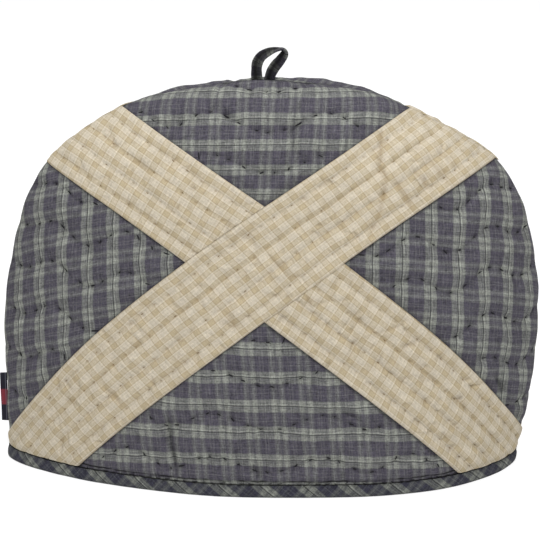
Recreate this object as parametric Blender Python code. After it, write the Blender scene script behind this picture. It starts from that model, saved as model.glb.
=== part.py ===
"""Quilted tea cosy: two padded dome panels with a cross of applied strips, a bound hem and a loop.

The cosy stands on its hem with its front towards -Y and +Z up. Lengths are in metres.
Every wall point is worked out from the same few rules: an outline in the seam's plane, a depth
in front of that plane, and a quilted relief added along the wall's normal.
"""

import math

import bmesh
import bpy
import numpy as np
from mathutils import Vector

# Driving dimensions
HALF_WIDTH = 0.1775      # from the middle line to the side seam, where the dome is widest
HEIGHT = 0.2660          # floor to the top of the seam
HALF_DEPTH = 0.0603      # from the seam's plane to the middle of one hem side
DOME_POWER = 3.3         # how late the wall turns in towards the top seam
GAP = 0.0003             # clearance between pieces that touch
WALL = 0.0030            # a panel's thickness along a stitched line
CLOTH = 0.0010           # thickness of the strips' and the binding's cloth
SPLIT = 0.2000           # height where the level rows end and the rows under the top arc start
SHOULDER = 0.2340        # height where the top arc meets the sides

# Outline: places (across, up) that the seam passes, from the left hem over the top to the right
OUTLINE = [
    (-0.1778, 0.0), (-0.1772, 0.0600), (-0.1768, 0.1050), (-0.1708, 0.1430), (-0.1590, 0.1850),
    (-0.1435, 0.2120), (-0.1205, 0.2320), (-0.0950, 0.2478), (-0.0760, 0.2546),
    (-0.0480, 0.2604), (-0.0200, 0.2650), (0.0, HEIGHT), (0.0250, 0.2638), (0.0500, 0.2605),
    (0.0720, 0.2550), (0.0940, 0.2452), (0.1180, 0.2325), (0.1335, 0.2235), (0.1480, 0.2120),
    (0.1640, 0.1850), (0.1745, 0.1430), (HALF_WIDTH, 0.1050), (0.1762, 0.0700), (0.1728, 0.0430),
    (0.1687, 0.0200), (0.1662, 0.0),
]
# Section of the wall, level: its two exponents at the left and at the right side seam
BOW = (1.85, 3.1)
ROOT = (0.72, 0.75)

# Quilting: wavy rows of stitches
ROW_START = 0.0230       # from the floor to the lowest row, along the wall
ROW_PITCH = 0.0303       # from row to row, along the wall
ROW_CLOSER = 4           # number of the row above which the rows lie closer
ROW_PITCH_TOP = 0.0265   # from row to row above it
PUFF = 0.0030            # how far the padding stands up between two rows
WAVE = 0.0052            # half height of the waves in the middle
WAVE_SIDE = 0.0066       # and near the side seams
WAVE_LENGTH = 0.050      # wavelength near the sides; the middle wave is drawn out
WAVE_DRAW = 2.12         # radians by which the middle wave is drawn out on each side
WAVE_DRAW_WIDTH = 0.045
BACK_SHIFT = 0.9         # radians by which the back's waves are shifted from the front's
SEAM_ROLL = 0.010        # depth over which the padding swells up from the seam

# Soft folds of the wall: ends (x, z), half width and height; a height below 0 is a trough
FOLDS = [
    {"a": (0.076, 0.146), "b": (0.096, 0.136), "width": 0.006, "height": 0.0016},
    {"a": (0.150, 0.075), "b": (0.157, 0.060), "width": 0.004, "height": -0.0020},
    {"a": (-0.026, 0.244), "b": (-0.026, 0.232), "width": 0.005, "height": -0.0014},
]

# Cross of strips: its edges are straight in the cut of the cloth, which has U across and V up
CUT_VIEW = 20.0          # V rises as height does seen from this many degrees above level
CUT_TURN = 0.030         # extra U at the side seams, where the cloth turns away
CUT_TURN_TOP = 0.0065    # extra V near the top seam
CROSS_SLOPE = 36.7       # degrees from level
CROSS_WIDTH = 0.0600
CROSS_AT = (-0.0025, 0.1331)   # the middle of the cross in U and V
STRIP_INSET = 0.0024     # a strip's ends stop this far from the seam's plane
STRIP_GAP = 0.0004       # a halved bar stops this far from the bar on top
STRIP_END = 0.0010       # and a bar's lower end this far above the binding
STRIP_SEAT = 0.0008      # clearance under a strip, so that its flat faces clear the wall's
STRIP_ROW = 0.0138       # from row to row of the stitches that run along a strip
STRIP_PUFF = 0.0016      # how far a strip's padding stands up between two rows
STRIP_EDGE = 0.0045      # width of a strip's edge, which slopes down to its seam
STRIP_STEPS = 40         # stations along a whole bar
BED = 0.0006             # height of the padding under the strips, which has no rows of its own
BED_MARGIN = (0.003, 0.014)    # and how far outside them the level rows fade in

# Binding
HEM_HEIGHT = 0.0088
HEM_EDGE = CLOTH + GAP   # height of the panels' lower edge inside the binding
HEM_ROUND = 0.0008       # how far the binding's lower corners are taken off

# Loop: centre line in the seam's plane, as offsets from the top of the seam
LOOP_WIDTH = 0.0071
LOOP_THICK = 0.0026
LOOP_SEAT = 0.0003
LOOP_ROUTE = [
    (-0.0084, 0.0), (-0.0088, 0.0066), (-0.0082, 0.0122), (-0.0048, 0.0166), (0.0006, 0.0193),
    (0.0056, 0.0204), (0.0098, 0.0186), (0.0088, 0.0138), (0.0056, 0.0092), (0.0022, 0.0048),
    (0.0006, 0.0),
]
LOOP_STEPS = 26

# Tab of folded tape in the left side seam
TAB_LOW = 0.0270
TAB_HIGH = 0.0620
TAB_OUT = 0.0050
TAB_THICK = 0.0012
TAB_STEPS = 6

MIDDLE = TAB_OUT / 2     # shifts the panels so that the whole cosy, tab included, is centred

# Mesh resolution
COLUMNS = 40
CROWD = 0.70             # how strongly columns and top rows crowd towards the seam
LEVELS_A_ROW = 3
TOP_ROWS = 9


def smooth(a):
    a = np.clip(a, 0.0, 1.0)
    return a * a * (3 - 2 * a)


def smooth_line(points, between=16):
    """Close points on a smooth curve that passes the given ones."""
    points = np.array(points)
    ends = np.vstack([2 * points[0] - points[1], points, 2 * points[-1] - points[-2]])
    line = []
    for k in range(1, len(ends) - 2):
        a, b, c, d = ends[k - 1 : k + 3]
        for t in np.linspace(0, 1, between, endpoint=False):
            square, cube = 2 * a - 5 * b + 4 * c - d, 3 * b - a - 3 * c + d
            line.append(b + 0.5 * ((c - a) * t + square * t**2 + cube * t**3))
    return np.array([*line, points[-1]])


SEAM = smooth_line(OUTLINE)
SEAM_TOP = int(SEAM[:, 1].argmax())
SEAM_LEFT = SEAM[: SEAM_TOP + 1]
SEAM_RIGHT = SEAM[SEAM_TOP:][::-1]


def seam_across(z, left):
    """Where the side seam is at height z, along X."""
    line = SEAM_LEFT if left else SEAM_RIGHT
    return np.interp(z, line[:, 1], line[:, 0])


def seam_height(x):
    """Height of the top arc of the seam at x."""
    top = SEAM[SEAM[:, 1] > SPLIT]
    return np.interp(x, top[:, 0], top[:, 1])


def depth(x, z):
    """How far the wall stands in front of the seam's plane, before quilting."""
    width = np.where(x < 0, -seam_across(z, True), seam_across(z, False))
    t = np.clip(np.abs(x) / np.maximum(width, 1e-6), 0.0, 1.0)
    turn = smooth(x / HALF_WIDTH + 0.5)
    bow = BOW[0] + turn * (BOW[1] - BOW[0])
    root = ROOT[0] + turn * (ROOT[1] - ROOT[0])
    lean = np.sqrt(1 - np.clip(z / HEIGHT, 0.0, 1.0) ** DOME_POWER)
    return HALF_DEPTH * lean * (1 - t**bow) ** root


def wall_normal(x, z):
    """Unit normal of the front wall, before quilting."""
    step = 0.0005
    slope_x = (depth(x + step, z) - depth(x - step, z)) / (2 * step)
    slope_z = (depth(x, z + step) - depth(x, z - step)) / (2 * step)
    n = np.stack([-slope_x, -np.ones_like(x), -slope_z], axis=-1)
    return n / np.linalg.norm(n, axis=-1, keepdims=True)


PROFILE_Z = np.linspace(0.0, HEIGHT, 400)
PROFILE_Y = depth(np.zeros(400), PROFILE_Z)
PROFILE_RUN = np.concatenate(
    [[0.0], np.cumsum(np.hypot(np.diff(PROFILE_Z), np.diff(PROFILE_Y)))]
)


def row_number(q):
    """Which stitched row a height is at; whole numbers are the rows themselves."""
    rise = np.interp(q, PROFILE_Z, PROFILE_RUN) - ROW_START
    low = rise / ROW_PITCH
    high = ROW_CLOSER + (rise - ROW_CLOSER * ROW_PITCH) / ROW_PITCH_TOP
    return np.where(low < ROW_CLOSER, low, high)


def row_height(number):
    """The height of a stitched row, or of a place between two of them."""
    low = np.minimum(number, ROW_CLOSER) * ROW_PITCH
    high = np.maximum(number - ROW_CLOSER, 0) * ROW_PITCH_TOP
    return np.interp(ROW_START + low + high, PROFILE_RUN, PROFILE_Z)


def wave(x, q, shift):
    """How far a row of stitches lies above its level height."""
    phase = 2 * math.pi * x / WAVE_LENGTH - WAVE_DRAW * np.tanh(x / WAVE_DRAW_WIDTH)
    size = WAVE + (WAVE_SIDE - WAVE) * smooth(np.abs(x) / HALF_WIDTH)
    calm = smooth(depth(x, q) / 0.025) * smooth((q - HEM_HEIGHT) / 0.015)
    return -size * calm * np.cos(phase + shift)


def fold_relief(x, z):
    """Height of the soft folds."""
    total = np.zeros_like(x)
    for fold in FOLDS:
        ax, az = fold["a"]
        bx, bz = fold["b"]
        length = (bx - ax) ** 2 + (bz - az) ** 2
        t = np.clip(((x - ax) * (bx - ax) + (z - az) * (bz - az)) / length, 0.0, 1.0)
        away = np.hypot(x - ax - t * (bx - ax), z - az - t * (bz - az))
        total += fold["height"] * np.exp(-((away / fold["width"]) ** 2))
    return total


def relief(x, q, z, facing):
    """How far the quilted face stands out from the stitched lines."""
    swell = np.abs(np.sin(math.pi * row_number(q))) ** 0.7
    seam = np.minimum(np.sqrt(np.clip(depth(x, z) / SEAM_ROLL, 0.0, 1.0)), 1.0)
    hem = smooth((z - HEM_HEIGHT - 0.001) / 0.008)
    near, far = BED_MARGIN
    open_wall = smooth((beside_cross(*cut_place(x, z, facing)) - near) / (far - near))
    height = PUFF * swell - BED
    if facing < 0:
        height += fold_relief(x, z) * seam
    return np.maximum(BED + height * open_wall, 0.0) * seam * hem


def level_rows():
    """Heights of the level rows: the edge, the binding's top, then some for each stitched row."""
    count = math.floor(row_number(SPLIT) * LEVELS_A_ROW)
    numbers = np.arange(-1, count + 1) / LEVELS_A_ROW
    return [HEM_EDGE, HEM_HEIGHT, *row_height(numbers)]


def wall_grid():
    """Grid of (x, q): level rows below, then rows that bend up to the top arc of the seam."""
    side = np.linspace(-1.0, 1.0, COLUMNS + 1)
    across = CROWD * np.sin(side * math.pi / 2) + (1 - CROWD) * side
    rows = []
    for q in level_rows():
        rows.append((level_stations(across, q), np.full(COLUMNS + 1, q)))
    base_x, base_q = rows[-1]
    top_x = level_stations(across, SHOULDER)
    top_q = seam_height(top_x)
    share = (across + 1) / 2
    for k in range(1, TOP_ROWS + 1):
        r = k / TOP_ROWS
        r = CROWD * math.sin(r * math.pi / 2) + (1 - CROWD) * r
        x = (1 - r) * base_x + r * top_x
        q = (1 - r) * base_q + r * top_q
        end_left = seam_across(q[0], True) - x[0]
        end_right = seam_across(q[-1], False) - x[-1]
        rows.append((x + (1 - share) * end_left + share * end_right, q))
    return np.array([row[0] for row in rows]), np.array([row[1] for row in rows])


def level_stations(across, q):
    """Places along X from seam to seam at height q, for shares of the way from -1 to 1."""
    return np.abs(across) * np.where(across < 0, seam_across(q, True), seam_across(q, False))


def outer_points(x, q, facing):
    """The quilted outer face of a panel; facing is -1 for the front and 1 for the back."""
    z = q + wave(x, q, BACK_SHIFT if facing > 0 else 0.0)
    out = depth(x, z)
    p = np.stack([x, -out, z], axis=-1)
    p += wall_normal(x, z) * relief(x, q, z, facing)[..., None]
    return seat_points(p, facing)


def inner_points(x, q, facing):
    """The smooth inner face: the outer face before quilting, drawn in by the wall's thickness."""
    p = np.stack([x, -depth(x, q), q], axis=-1)
    p *= [1 - WALL / HALF_WIDTH, 1 - WALL / HALF_DEPTH, 1 - WALL / HEIGHT]
    p[..., 2] += HEM_EDGE * WALL / HEIGHT
    return seat_points(p, facing)


def seat_points(p, facing):
    """Moves points of a front face to their place, or mirrors them to the back."""
    return p * [1, -facing, 1] + [MIDDLE, facing * GAP / 2, 0]


def triangles(shape, first=0):
    """Triangles of a grid of points, numbered row by row from first."""
    faces = []
    for r in range(shape[0] - 1):
        for c in range(shape[1] - 1):
            a = first + r * shape[1] + c
            b, d = a + 1, a + shape[1]
            faces += [(a, b, d + 1), (a, d + 1, d)] if (r + c) % 2 else [(a, b, d), (b, d + 1, d)]
    return faces


def border(shape, first=0):
    """The grid's border points in order, from its first corner round to it again."""
    rows, columns = shape[0], shape[1]
    low = [first + c for c in range(columns - 1)]
    right = [first + r * columns + columns - 1 for r in range(rows - 1)]
    top = [first + rows * columns - 1 - c for c in range(columns - 1)]
    left = [first + (rows - 1 - r) * columns for r in range(rows - 1)]
    return low + right + top + left


def material(name, colour, roughness):
    mat = bpy.data.materials.new(name)
    mat.use_nodes = True
    shader = mat.node_tree.nodes["Principled BSDF"]
    shader.inputs["Base Color"].default_value = (*colour, 1.0)
    shader.inputs["Roughness"].default_value = roughness
    shader.inputs["Metallic"].default_value = 0.0
    return mat


def add_solid(name, points, faces, mat, sharp=40):
    """Makes a named object from points and faces; edges that turn more than sharp stay hard."""
    mesh = bpy.data.meshes.new(name)
    mesh.from_pydata([tuple(map(float, p)) for p in points], [], faces)
    bm = bmesh.new()
    bm.from_mesh(mesh)
    bmesh.ops.recalc_face_normals(bm, faces=bm.faces)
    bm.to_mesh(mesh)
    bm.free()
    mesh.shade_smooth()
    mesh.set_sharp_from_angle(angle=math.radians(sharp))
    mesh.materials.append(mat)
    obj = bpy.data.objects.new(name, mesh)
    bpy.context.scene.collection.objects.link(obj)
    return obj


def make_panel(name, facing, mat):
    """A padded wall: quilted face, smooth inner face with half as many points, and a flat rim."""
    x, q = wall_grid()
    outer = outer_points(x, q, facing)
    inner = inner_points(x[::2, ::2], q[::2, ::2], facing)
    first = outer.shape[0] * outer.shape[1]
    faces = triangles(outer.shape) + triangles(inner.shape, first)
    rim_out = border(outer.shape)
    rim_in = border(inner.shape, first)
    for k, here in enumerate(rim_in):
        a, b = rim_out[2 * k], rim_out[2 * k + 1]
        c = rim_out[(2 * k + 2) % len(rim_out)]
        there = rim_in[(k + 1) % len(rim_in)]
        faces += [(a, b, here), (b, there, here), (b, c, there)]
    points = np.concatenate([outer.reshape(-1, 3), inner.reshape(-1, 3)])
    add_solid(name, points, faces, mat)


def cut_place(x, z, facing):
    """U and V of places on a wall: where they lie in the flat cut of the cloth."""
    view = math.radians(CUT_VIEW)
    turned = (x / HALF_WIDTH) ** 4 * np.sign(x) * (1 - smooth((z - 0.05) / 0.15))
    u = x + CUT_TURN * turned
    v = z * math.cos(view) - depth(x, z) * math.sin(view)
    v += CUT_TURN_TOP * smooth((z - 0.16) / 0.09)
    return -facing * u, v


def wall_place(u, v, facing):
    """The x and z that have the given U and V, found by closing in on them."""
    view = math.radians(CUT_VIEW)
    x, z = -facing * u, v.copy()
    for _ in range(70):
        turned = (x / HALF_WIDTH) ** 4 * np.sign(x) * (1 - smooth((z - 0.05) / 0.15))
        x = (x - facing * u - CUT_TURN * turned) / 2
        rise = v + depth(x, z) * math.sin(view) - CUT_TURN_TOP * smooth((z - 0.16) / 0.09)
        z = (z + rise / math.cos(view)) / 2
    return x, z


def bar_axes(rising):
    """Directions along and across a bar of the cross in the cut."""
    slope = math.radians(CROSS_SLOPE if rising else -CROSS_SLOPE)
    along = np.array([math.cos(slope), math.sin(slope)])
    return along, np.array([-along[1], along[0]])


def beside_cross(u, v):
    """How far outside the cross a place in the cut lies; below 0 on the cross itself."""
    place = np.stack([u - CROSS_AT[0], v - CROSS_AT[1]], axis=-1)
    off = [np.abs(place @ bar_axes(rising)[1]) for rising in (True, False)]
    return np.minimum(*off) - CROSS_WIDTH / 2


def strip_stations():
    """Places across a strip: its edges, its rows of stitches and both shoulders of each puff."""
    rows = np.arange(-1.5, 2.0) * STRIP_ROW
    shoulders = np.arange(-1, 2)[:, None] * STRIP_ROW + np.array([-0.2, 0.2]) * STRIP_ROW
    half = CROSS_WIDTH / 2
    ends = [-half, -half + STRIP_EDGE, half - STRIP_EDGE, half]
    return np.sort([*ends, *rows, *shoulders.ravel()])


def strip_relief(t):
    """How far a strip's padding stands up at t, counted across from its middle."""
    swell = np.abs(np.cos(math.pi * t / STRIP_ROW)) ** 0.7
    edge = np.clip((CROSS_WIDTH / 2 - np.abs(t)) / STRIP_EDGE, 0.0, 1.0)
    return STRIP_PUFF * swell * np.sqrt(edge)


def strip_point(x, z, out, facing):
    """A place on a wall's bed, out above it."""
    seam = np.minimum(np.sqrt(np.clip(depth(x, z) / SEAM_ROLL, 0.0, 1.0)), 1.0)
    bed = BED * seam * smooth((z - HEM_HEIGHT - 0.001) / 0.008)
    p = np.stack([x, -depth(x, z), z], axis=-1)
    return seat_points(p + wall_normal(x, z) * (bed + out)[..., None], facing)


def strip_line(t, rising, part, facing, steps):
    """Stations (x, z) along a strip's line at t, evenly spaced on the wall from end to end."""
    along, across = bar_axes(rising)
    half = CROSS_WIDTH / 2 + STRIP_GAP
    double = 2 * math.radians(CROSS_SLOPE)
    start, stop = -HEIGHT, HEIGHT
    if part == "upper":
        stop = (t * math.cos(double) - half) / math.sin(double)
    if part == "lower":
        start = (t * math.cos(double) + half) / math.sin(double)
    s = np.linspace(start, stop, 1800)
    place = np.array(CROSS_AT) + s[:, None] * along + t * across
    x, z = wall_place(place[:, 0], place[:, 1], facing)
    on_wall = (depth(x, z) > STRIP_INSET) & (z > HEM_HEIGHT + STRIP_END)
    x, z = x[on_wall], z[on_wall]
    bed = strip_point(x, z, np.zeros_like(x), facing)
    run = np.concatenate([[0], np.cumsum(np.linalg.norm(np.diff(bed, axis=0), axis=1))])
    at = np.linspace(0, run[-1], steps + 1)
    return np.interp(at, run, x), np.interp(at, run, z)


def make_strip(name, facing, rising, part, mat):
    """A strip of cloth on a wall, with padded channels between the stitches along it."""
    steps = STRIP_STEPS if part == "whole" else round(STRIP_STEPS * 0.42)
    stations = strip_stations()
    lines = [strip_line(t, rising, part, facing, steps) for t in stations]
    x = np.array([line[0] for line in lines])
    z = np.array([line[1] for line in lines])
    seam = np.minimum(np.sqrt(np.clip(depth(x, z) / SEAM_ROLL, 0.0, 1.0)), 1.0)
    seat = STRIP_SEAT * (0.6 + 0.4 * seam)
    low = strip_point(x, z, seat, facing)
    puff = strip_relief(stations)[:, None] * seam
    high = strip_point(x, z, seat + CLOTH * (0.6 + 0.4 * seam) + puff, facing)
    count = x.size
    faces = triangles(x.shape) + triangles(x.shape, count)
    rim = border(x.shape)
    for a, b in zip(rim, rim[1:] + rim[:1]):
        faces += [(a, b, b + count), (a, b + count, a + count)]
    points = np.concatenate([low.reshape(-1, 3), high.reshape(-1, 3)])
    add_solid(name, points, faces, mat, sharp=55)


def make_cross(side_name, facing, mat):
    """One whole bar, and the other bar in two halves that stop at its edges."""
    make_strip(f"{side_name}_bar_whole", facing, True, "whole", mat)
    make_strip(f"{side_name}_bar_upper", facing, False, "upper", mat)
    make_strip(f"{side_name}_bar_lower", facing, False, "lower", mat)


def offset_loop(points, out):
    """A closed line of (x, y) points moved sideways by out, away from what it encloses."""
    before = points - np.roll(points, 1, axis=0)
    after = np.roll(points, -1, axis=0) - points
    sides = []
    for run in (before, after):
        unit = run / np.linalg.norm(run, axis=1, keepdims=True)
        sides.append(np.stack([unit[:, 1], -unit[:, 0]], axis=1))
    middle = sides[0] + sides[1]
    middle /= np.linalg.norm(middle, axis=1, keepdims=True)
    reach = out / (middle * sides[0]).sum(axis=1, keepdims=True)
    return points + middle * reach


def hem_loop(z, inner):
    """The panels' closed outline at height z, seen from above, anticlockwise from the left."""
    x, _ = wall_grid()
    across = x[0] / np.where(x[0] < 0, -x[0][0], x[0][-1])
    x = level_stations(across, z)
    make = inner_points if inner else outer_points
    front = make(x, np.full_like(x, z), -1)[:, :2]
    if inner:
        front[1::2] = (front[:-1:2] + front[2::2]) / 2
    front[[0, -1], 1] = 0.0
    back = front[-2:0:-1] * [1, -1]
    return np.concatenate([front, back])


def make_binding(mat):
    """A channel of cloth folded round both panels' lower edges, closed all the way round."""
    low_out, high_out = hem_loop(HEM_EDGE, False), hem_loop(HEM_HEIGHT, False)
    low_in, high_in = hem_loop(HEM_EDGE, True), hem_loop(HEM_HEIGHT, True)
    section = [
        (low_out, GAP + CLOTH - HEM_ROUND, 0.0),
        (low_out, GAP + CLOTH, HEM_ROUND),
        (high_out, GAP + CLOTH, HEM_HEIGHT),
        (high_out, GAP, HEM_HEIGHT),
        (low_out, GAP, CLOTH),
        (low_in, -GAP, CLOTH),
        (high_in, -GAP, HEM_HEIGHT),
        (high_in, -GAP - CLOTH, HEM_HEIGHT),
        (low_in, -GAP - CLOTH, HEM_ROUND),
        (low_in, -GAP - CLOTH + HEM_ROUND, 0.0),
    ]
    points = []
    for loop, out, z in section:
        ring = offset_loop(loop, out)
        points += [(a, b, z) for a, b in ring]
    count = len(low_out)
    faces = []
    for s in range(len(section)):
        after = (s + 1) % len(section)
        for k in range(count):
            n = (k + 1) % count
            faces.append((s * count + k, s * count + n, after * count + n, after * count + k))
    add_solid("hem_binding", points, faces, mat)


def spaced(line, steps):
    """The line again, with evenly spaced points."""
    run = np.concatenate([[0], np.cumsum(np.linalg.norm(np.diff(line, axis=0), axis=1))])
    at = np.linspace(0, run[-1], steps + 1)
    return np.stack([np.interp(at, run, line[:, k]) for k in range(2)], axis=1)


def make_loop(mat):
    """A narrow folded strip whose flat side faces front at its ends and turns over the top."""
    route = spaced(smooth_line(LOOP_ROUTE), LOOP_STEPS)
    slope = np.gradient(route, axis=0)
    slope[[0, -1]] = [[0, 1], [0, -1]]
    slope /= np.linalg.norm(slope, axis=1, keepdims=True)
    wide, thick, round_off = LOOP_WIDTH / 2, LOOP_THICK / 2, LOOP_THICK * 0.3
    corners = [
        (-wide + round_off, -thick), (wide - round_off, -thick), (wide, -thick + round_off),
        (wide, thick - round_off), (wide - round_off, thick), (-wide + round_off, thick),
        (-wide, thick - round_off), (-wide, -thick + round_off),
    ]
    points = []
    for k, (at, along) in enumerate(zip(route, slope)):
        turn = math.pi * float(smooth(k / LOOP_STEPS))
        level = Vector((-along[1], 0, along[0]))
        through = Vector((0, 1, 0))
        across = level * math.cos(turn) + through * math.sin(turn)
        facing = -level * math.sin(turn) + through * math.cos(turn)
        centre = Vector((MIDDLE + at[0], 0, HEIGHT + LOOP_SEAT + at[1]))
        points += [centre + across * a + facing * b for a, b in corners]
    count = len(corners)
    faces = [tuple(range(count)), tuple(range(LOOP_STEPS * count, (LOOP_STEPS + 1) * count))]
    for k in range(LOOP_STEPS):
        for c in range(count):
            n = (c + 1) % count
            a = k * count
            faces.append((a + c, a + n, a + n + count, a + c + count))
    add_solid("hanging_loop", points, faces, mat)


def make_tab(mat):
    """A short tape, folded over at its outer edge, that stands out of the left side seam."""
    half = TAB_THICK / 2
    section = [(GAP, -half), (GAP, half), (TAB_OUT - half, half), (TAB_OUT, 0.0),
               (TAB_OUT - half, -half)]
    points = []
    for z in np.linspace(TAB_LOW, TAB_HIGH, TAB_STEPS + 1):
        edge = MIDDLE + seam_across(z, True)
        points += [(edge - out, y, z) for out, y in section]
    count = len(section)
    faces = [tuple(range(count)), tuple(range(TAB_STEPS * count, (TAB_STEPS + 1) * count))]
    for k in range(TAB_STEPS):
        for c in range(count):
            n = (c + 1) % count
            a = k * count
            faces.append((a + c, a + n, a + n + count, a + c + count))
    add_solid("side_tab", points, faces, mat)


def main():
    for obj in list(bpy.data.objects):
        bpy.data.objects.remove(obj, do_unlink=True)
    plaid = material("slate_plaid", (0.15, 0.15, 0.155), 0.9)
    check = material("cream_check", (0.56, 0.48, 0.36), 0.9)
    dark = material("bias_plaid", (0.08, 0.08, 0.09), 0.9)
    tape = material("navy_tape", (0.02, 0.022, 0.04), 0.8)
    for side_name, facing in (("front", -1), ("back", 1)):
        make_panel(f"{side_name}_panel", facing, plaid)
        make_cross(side_name, facing, check)
    make_binding(dark)
    make_loop(dark)
    make_tab(tape)


main()
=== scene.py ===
# %% [markdown]
# A quilted tea cosy. Two padded cloth walls are joined along a domed seam, a cross of cream check
# is sewn on each wall, a bias binding closes the lower edge, and a small loop stands on top.
# The solids of the cosy come in as a frame. Each cloth piece here is made again with far more
# points, from the same few rules, so that it can carry its stitches, puckers and folds.

# %% Load the frame
import math

import bmesh
import bpy
import numpy as np
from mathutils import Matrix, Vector


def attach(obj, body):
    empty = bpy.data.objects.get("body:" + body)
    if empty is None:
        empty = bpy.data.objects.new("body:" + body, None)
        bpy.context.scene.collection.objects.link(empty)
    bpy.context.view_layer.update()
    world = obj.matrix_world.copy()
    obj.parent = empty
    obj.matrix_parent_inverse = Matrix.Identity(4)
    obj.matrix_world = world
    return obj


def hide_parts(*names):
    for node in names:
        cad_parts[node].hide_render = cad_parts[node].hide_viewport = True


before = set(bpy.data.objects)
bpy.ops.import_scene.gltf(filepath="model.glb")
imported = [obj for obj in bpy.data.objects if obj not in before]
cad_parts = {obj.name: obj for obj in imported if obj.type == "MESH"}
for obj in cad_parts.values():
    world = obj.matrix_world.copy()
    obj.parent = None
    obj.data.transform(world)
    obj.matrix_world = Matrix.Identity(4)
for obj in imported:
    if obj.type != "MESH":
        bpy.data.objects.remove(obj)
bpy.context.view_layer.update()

print("pieces of the frame:", sorted(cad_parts))

# %% [markdown]
# The wall of the cosy is a rule, not a drawing: the seam's outline, and a depth in front of the
# seam's plane that runs out softly at the outline. A wall could also be sculpted by hand, but a
# rule gives the place of any point, so stitches and stripes can be put on it by their own sizes.

# %% Sizes of the walls, in metres
HALF_WIDTH = 0.1775
HEIGHT = 0.2660
HALF_DEPTH = 0.0603
MIDDLE = 0.0025
CLOTH = 0.0010
GAP = 0.0003
SEAM_GAP = 0.00006
HEM_HEIGHT = 0.0088
HEM_EDGE = CLOTH + GAP
OUTLINE = [
    (-0.1778, 0.0), (-0.1772, 0.0600), (-0.1768, 0.1050), (-0.1708, 0.1430), (-0.1590, 0.1850),
    (-0.1435, 0.2120), (-0.1205, 0.2320), (-0.0950, 0.2478), (-0.0760, 0.2546),
    (-0.0480, 0.2604), (-0.0200, 0.2650), (0.0, HEIGHT), (0.0250, 0.2638), (0.0500, 0.2605),
    (0.0720, 0.2550), (0.0940, 0.2452), (0.1180, 0.2325), (0.1335, 0.2235), (0.1480, 0.2120),
    (0.1640, 0.1850), (0.1745, 0.1430), (HALF_WIDTH, 0.1050), (0.1762, 0.0700), (0.1728, 0.0430),
    (0.1687, 0.0200), (0.1662, 0.0),
]


def smooth(a):
    """Rises softly from 0 to 1 as a goes from 0 to 1."""
    a = np.clip(a, 0.0, 1.0)
    return a * a * (3 - 2 * a)


def bump(a, width):
    """1 where a is nothing, and fading on both sides over the width."""
    return np.exp(-((a / width) ** 2))


# %% The seam's outline
def smooth_line(points, between=16):
    """Close points on a smooth curve that passes the given ones."""
    points = np.array(points, dtype=float)
    ends = np.vstack([2 * points[0] - points[1], points, 2 * points[-1] - points[-2]])
    line = []
    for k in range(1, len(ends) - 2):
        a, b, c, d = ends[k - 1 : k + 3]
        for t in np.linspace(0, 1, between, endpoint=False):
            square, cube = 2 * a - 5 * b + 4 * c - d, 3 * b - a - 3 * c + d
            line.append(b + 0.5 * ((c - a) * t + square * t**2 + cube * t**3))
    return np.array([*line, points[-1]])


def way_along(points):
    """How far each point of a line is from its start, measured along the line."""
    return np.concatenate([[0], np.cumsum(np.linalg.norm(np.diff(points, axis=0), axis=1))])


def points_along(at, run, line):
    """The points of a line at the given ways along it."""
    return np.stack([np.interp(at, run, line[:, c]) for c in range(line.shape[1])], axis=-1)


SEAM = smooth_line(OUTLINE)
SEAM_TOP = int(SEAM[:, 1].argmax())
SEAM_LEFT = SEAM[: SEAM_TOP + 1]
SEAM_RIGHT = SEAM[SEAM_TOP:][::-1]
SPLIT = 0.2000


def seam_across(z, left):
    """The seam's place across at height z, on its left or its right side."""
    line = SEAM_LEFT if left else SEAM_RIGHT
    return np.interp(z, line[:, 1], line[:, 0])


def seam_height(x):
    """The seam's height at x, along the arc above the split."""
    top = SEAM[SEAM[:, 1] > SPLIT]
    return np.interp(x, top[:, 0], top[:, 1])


print("seam: %d points, %.0f mm high" % (len(SEAM), SEAM[:, 1].max() * 1000))

# %% The wall's depth and the way it faces
DOME_POWER = 3.3
BOW = (1.85, 3.1)
ROOT = (0.72, 0.75)
SEAM_ROLL = 0.010


def depth(x, z):
    """How far the wall stands in front of the seam's plane, before quilting."""
    width = np.where(x < 0, -seam_across(z, True), seam_across(z, False))
    t = np.clip(np.abs(x) / np.maximum(width, 1e-6), 0.0, 1.0)
    turn = smooth(x / HALF_WIDTH + 0.5)
    bow = BOW[0] + turn * (BOW[1] - BOW[0])
    root = ROOT[0] + turn * (ROOT[1] - ROOT[0])
    lean = np.sqrt(1 - np.clip(z / HEIGHT, 0.0, 1.0) ** DOME_POWER)
    return HALF_DEPTH * lean * (1 - t**bow) ** root


def wall_point(x, z):
    """A point of the front wall, before quilting."""
    return np.stack([x, -depth(x, z), z], axis=-1)


def wall_normal(x, z, step=0.0005):
    slope_x = (depth(x + step, z) - depth(x - step, z)) / (2 * step)
    slope_z = (depth(x, z + step) - depth(x, z - step)) / (2 * step)
    n = np.stack([-slope_x, -np.ones_like(x), -slope_z], axis=-1)
    return n / np.linalg.norm(n, axis=-1, keepdims=True)


def seat_points(p, facing):
    """Moves points of a front face to their place; facing is -1 for the front, 1 for the back."""
    return p * [1, -facing, 1] + [MIDDLE, facing * SEAM_GAP / 2, 0]


def roll_in(x, z):
    """Runs from 0 at the seam to 1 where the padding is full."""
    return np.minimum(np.sqrt(np.clip(depth(x, z) / SEAM_ROLL, 0.0, 1.0)), 1.0)


def hem_in(z):
    """Runs from 0 at the binding to 1 where the padding is full."""
    return smooth((z - HEM_HEIGHT - 0.0005) / 0.007)


print("depth of a wall in its middle: %.1f mm" % (float(depth(np.zeros(1), np.zeros(1))[0]) * 1000))

# %% [markdown]
# The quilting is a set of wavy rows of hand stitches, about 30 mm apart, and closer near the top.
# The rows are level only on the flat cloth, so a row's number is found from the way up the wall,
# not from the height.

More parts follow.
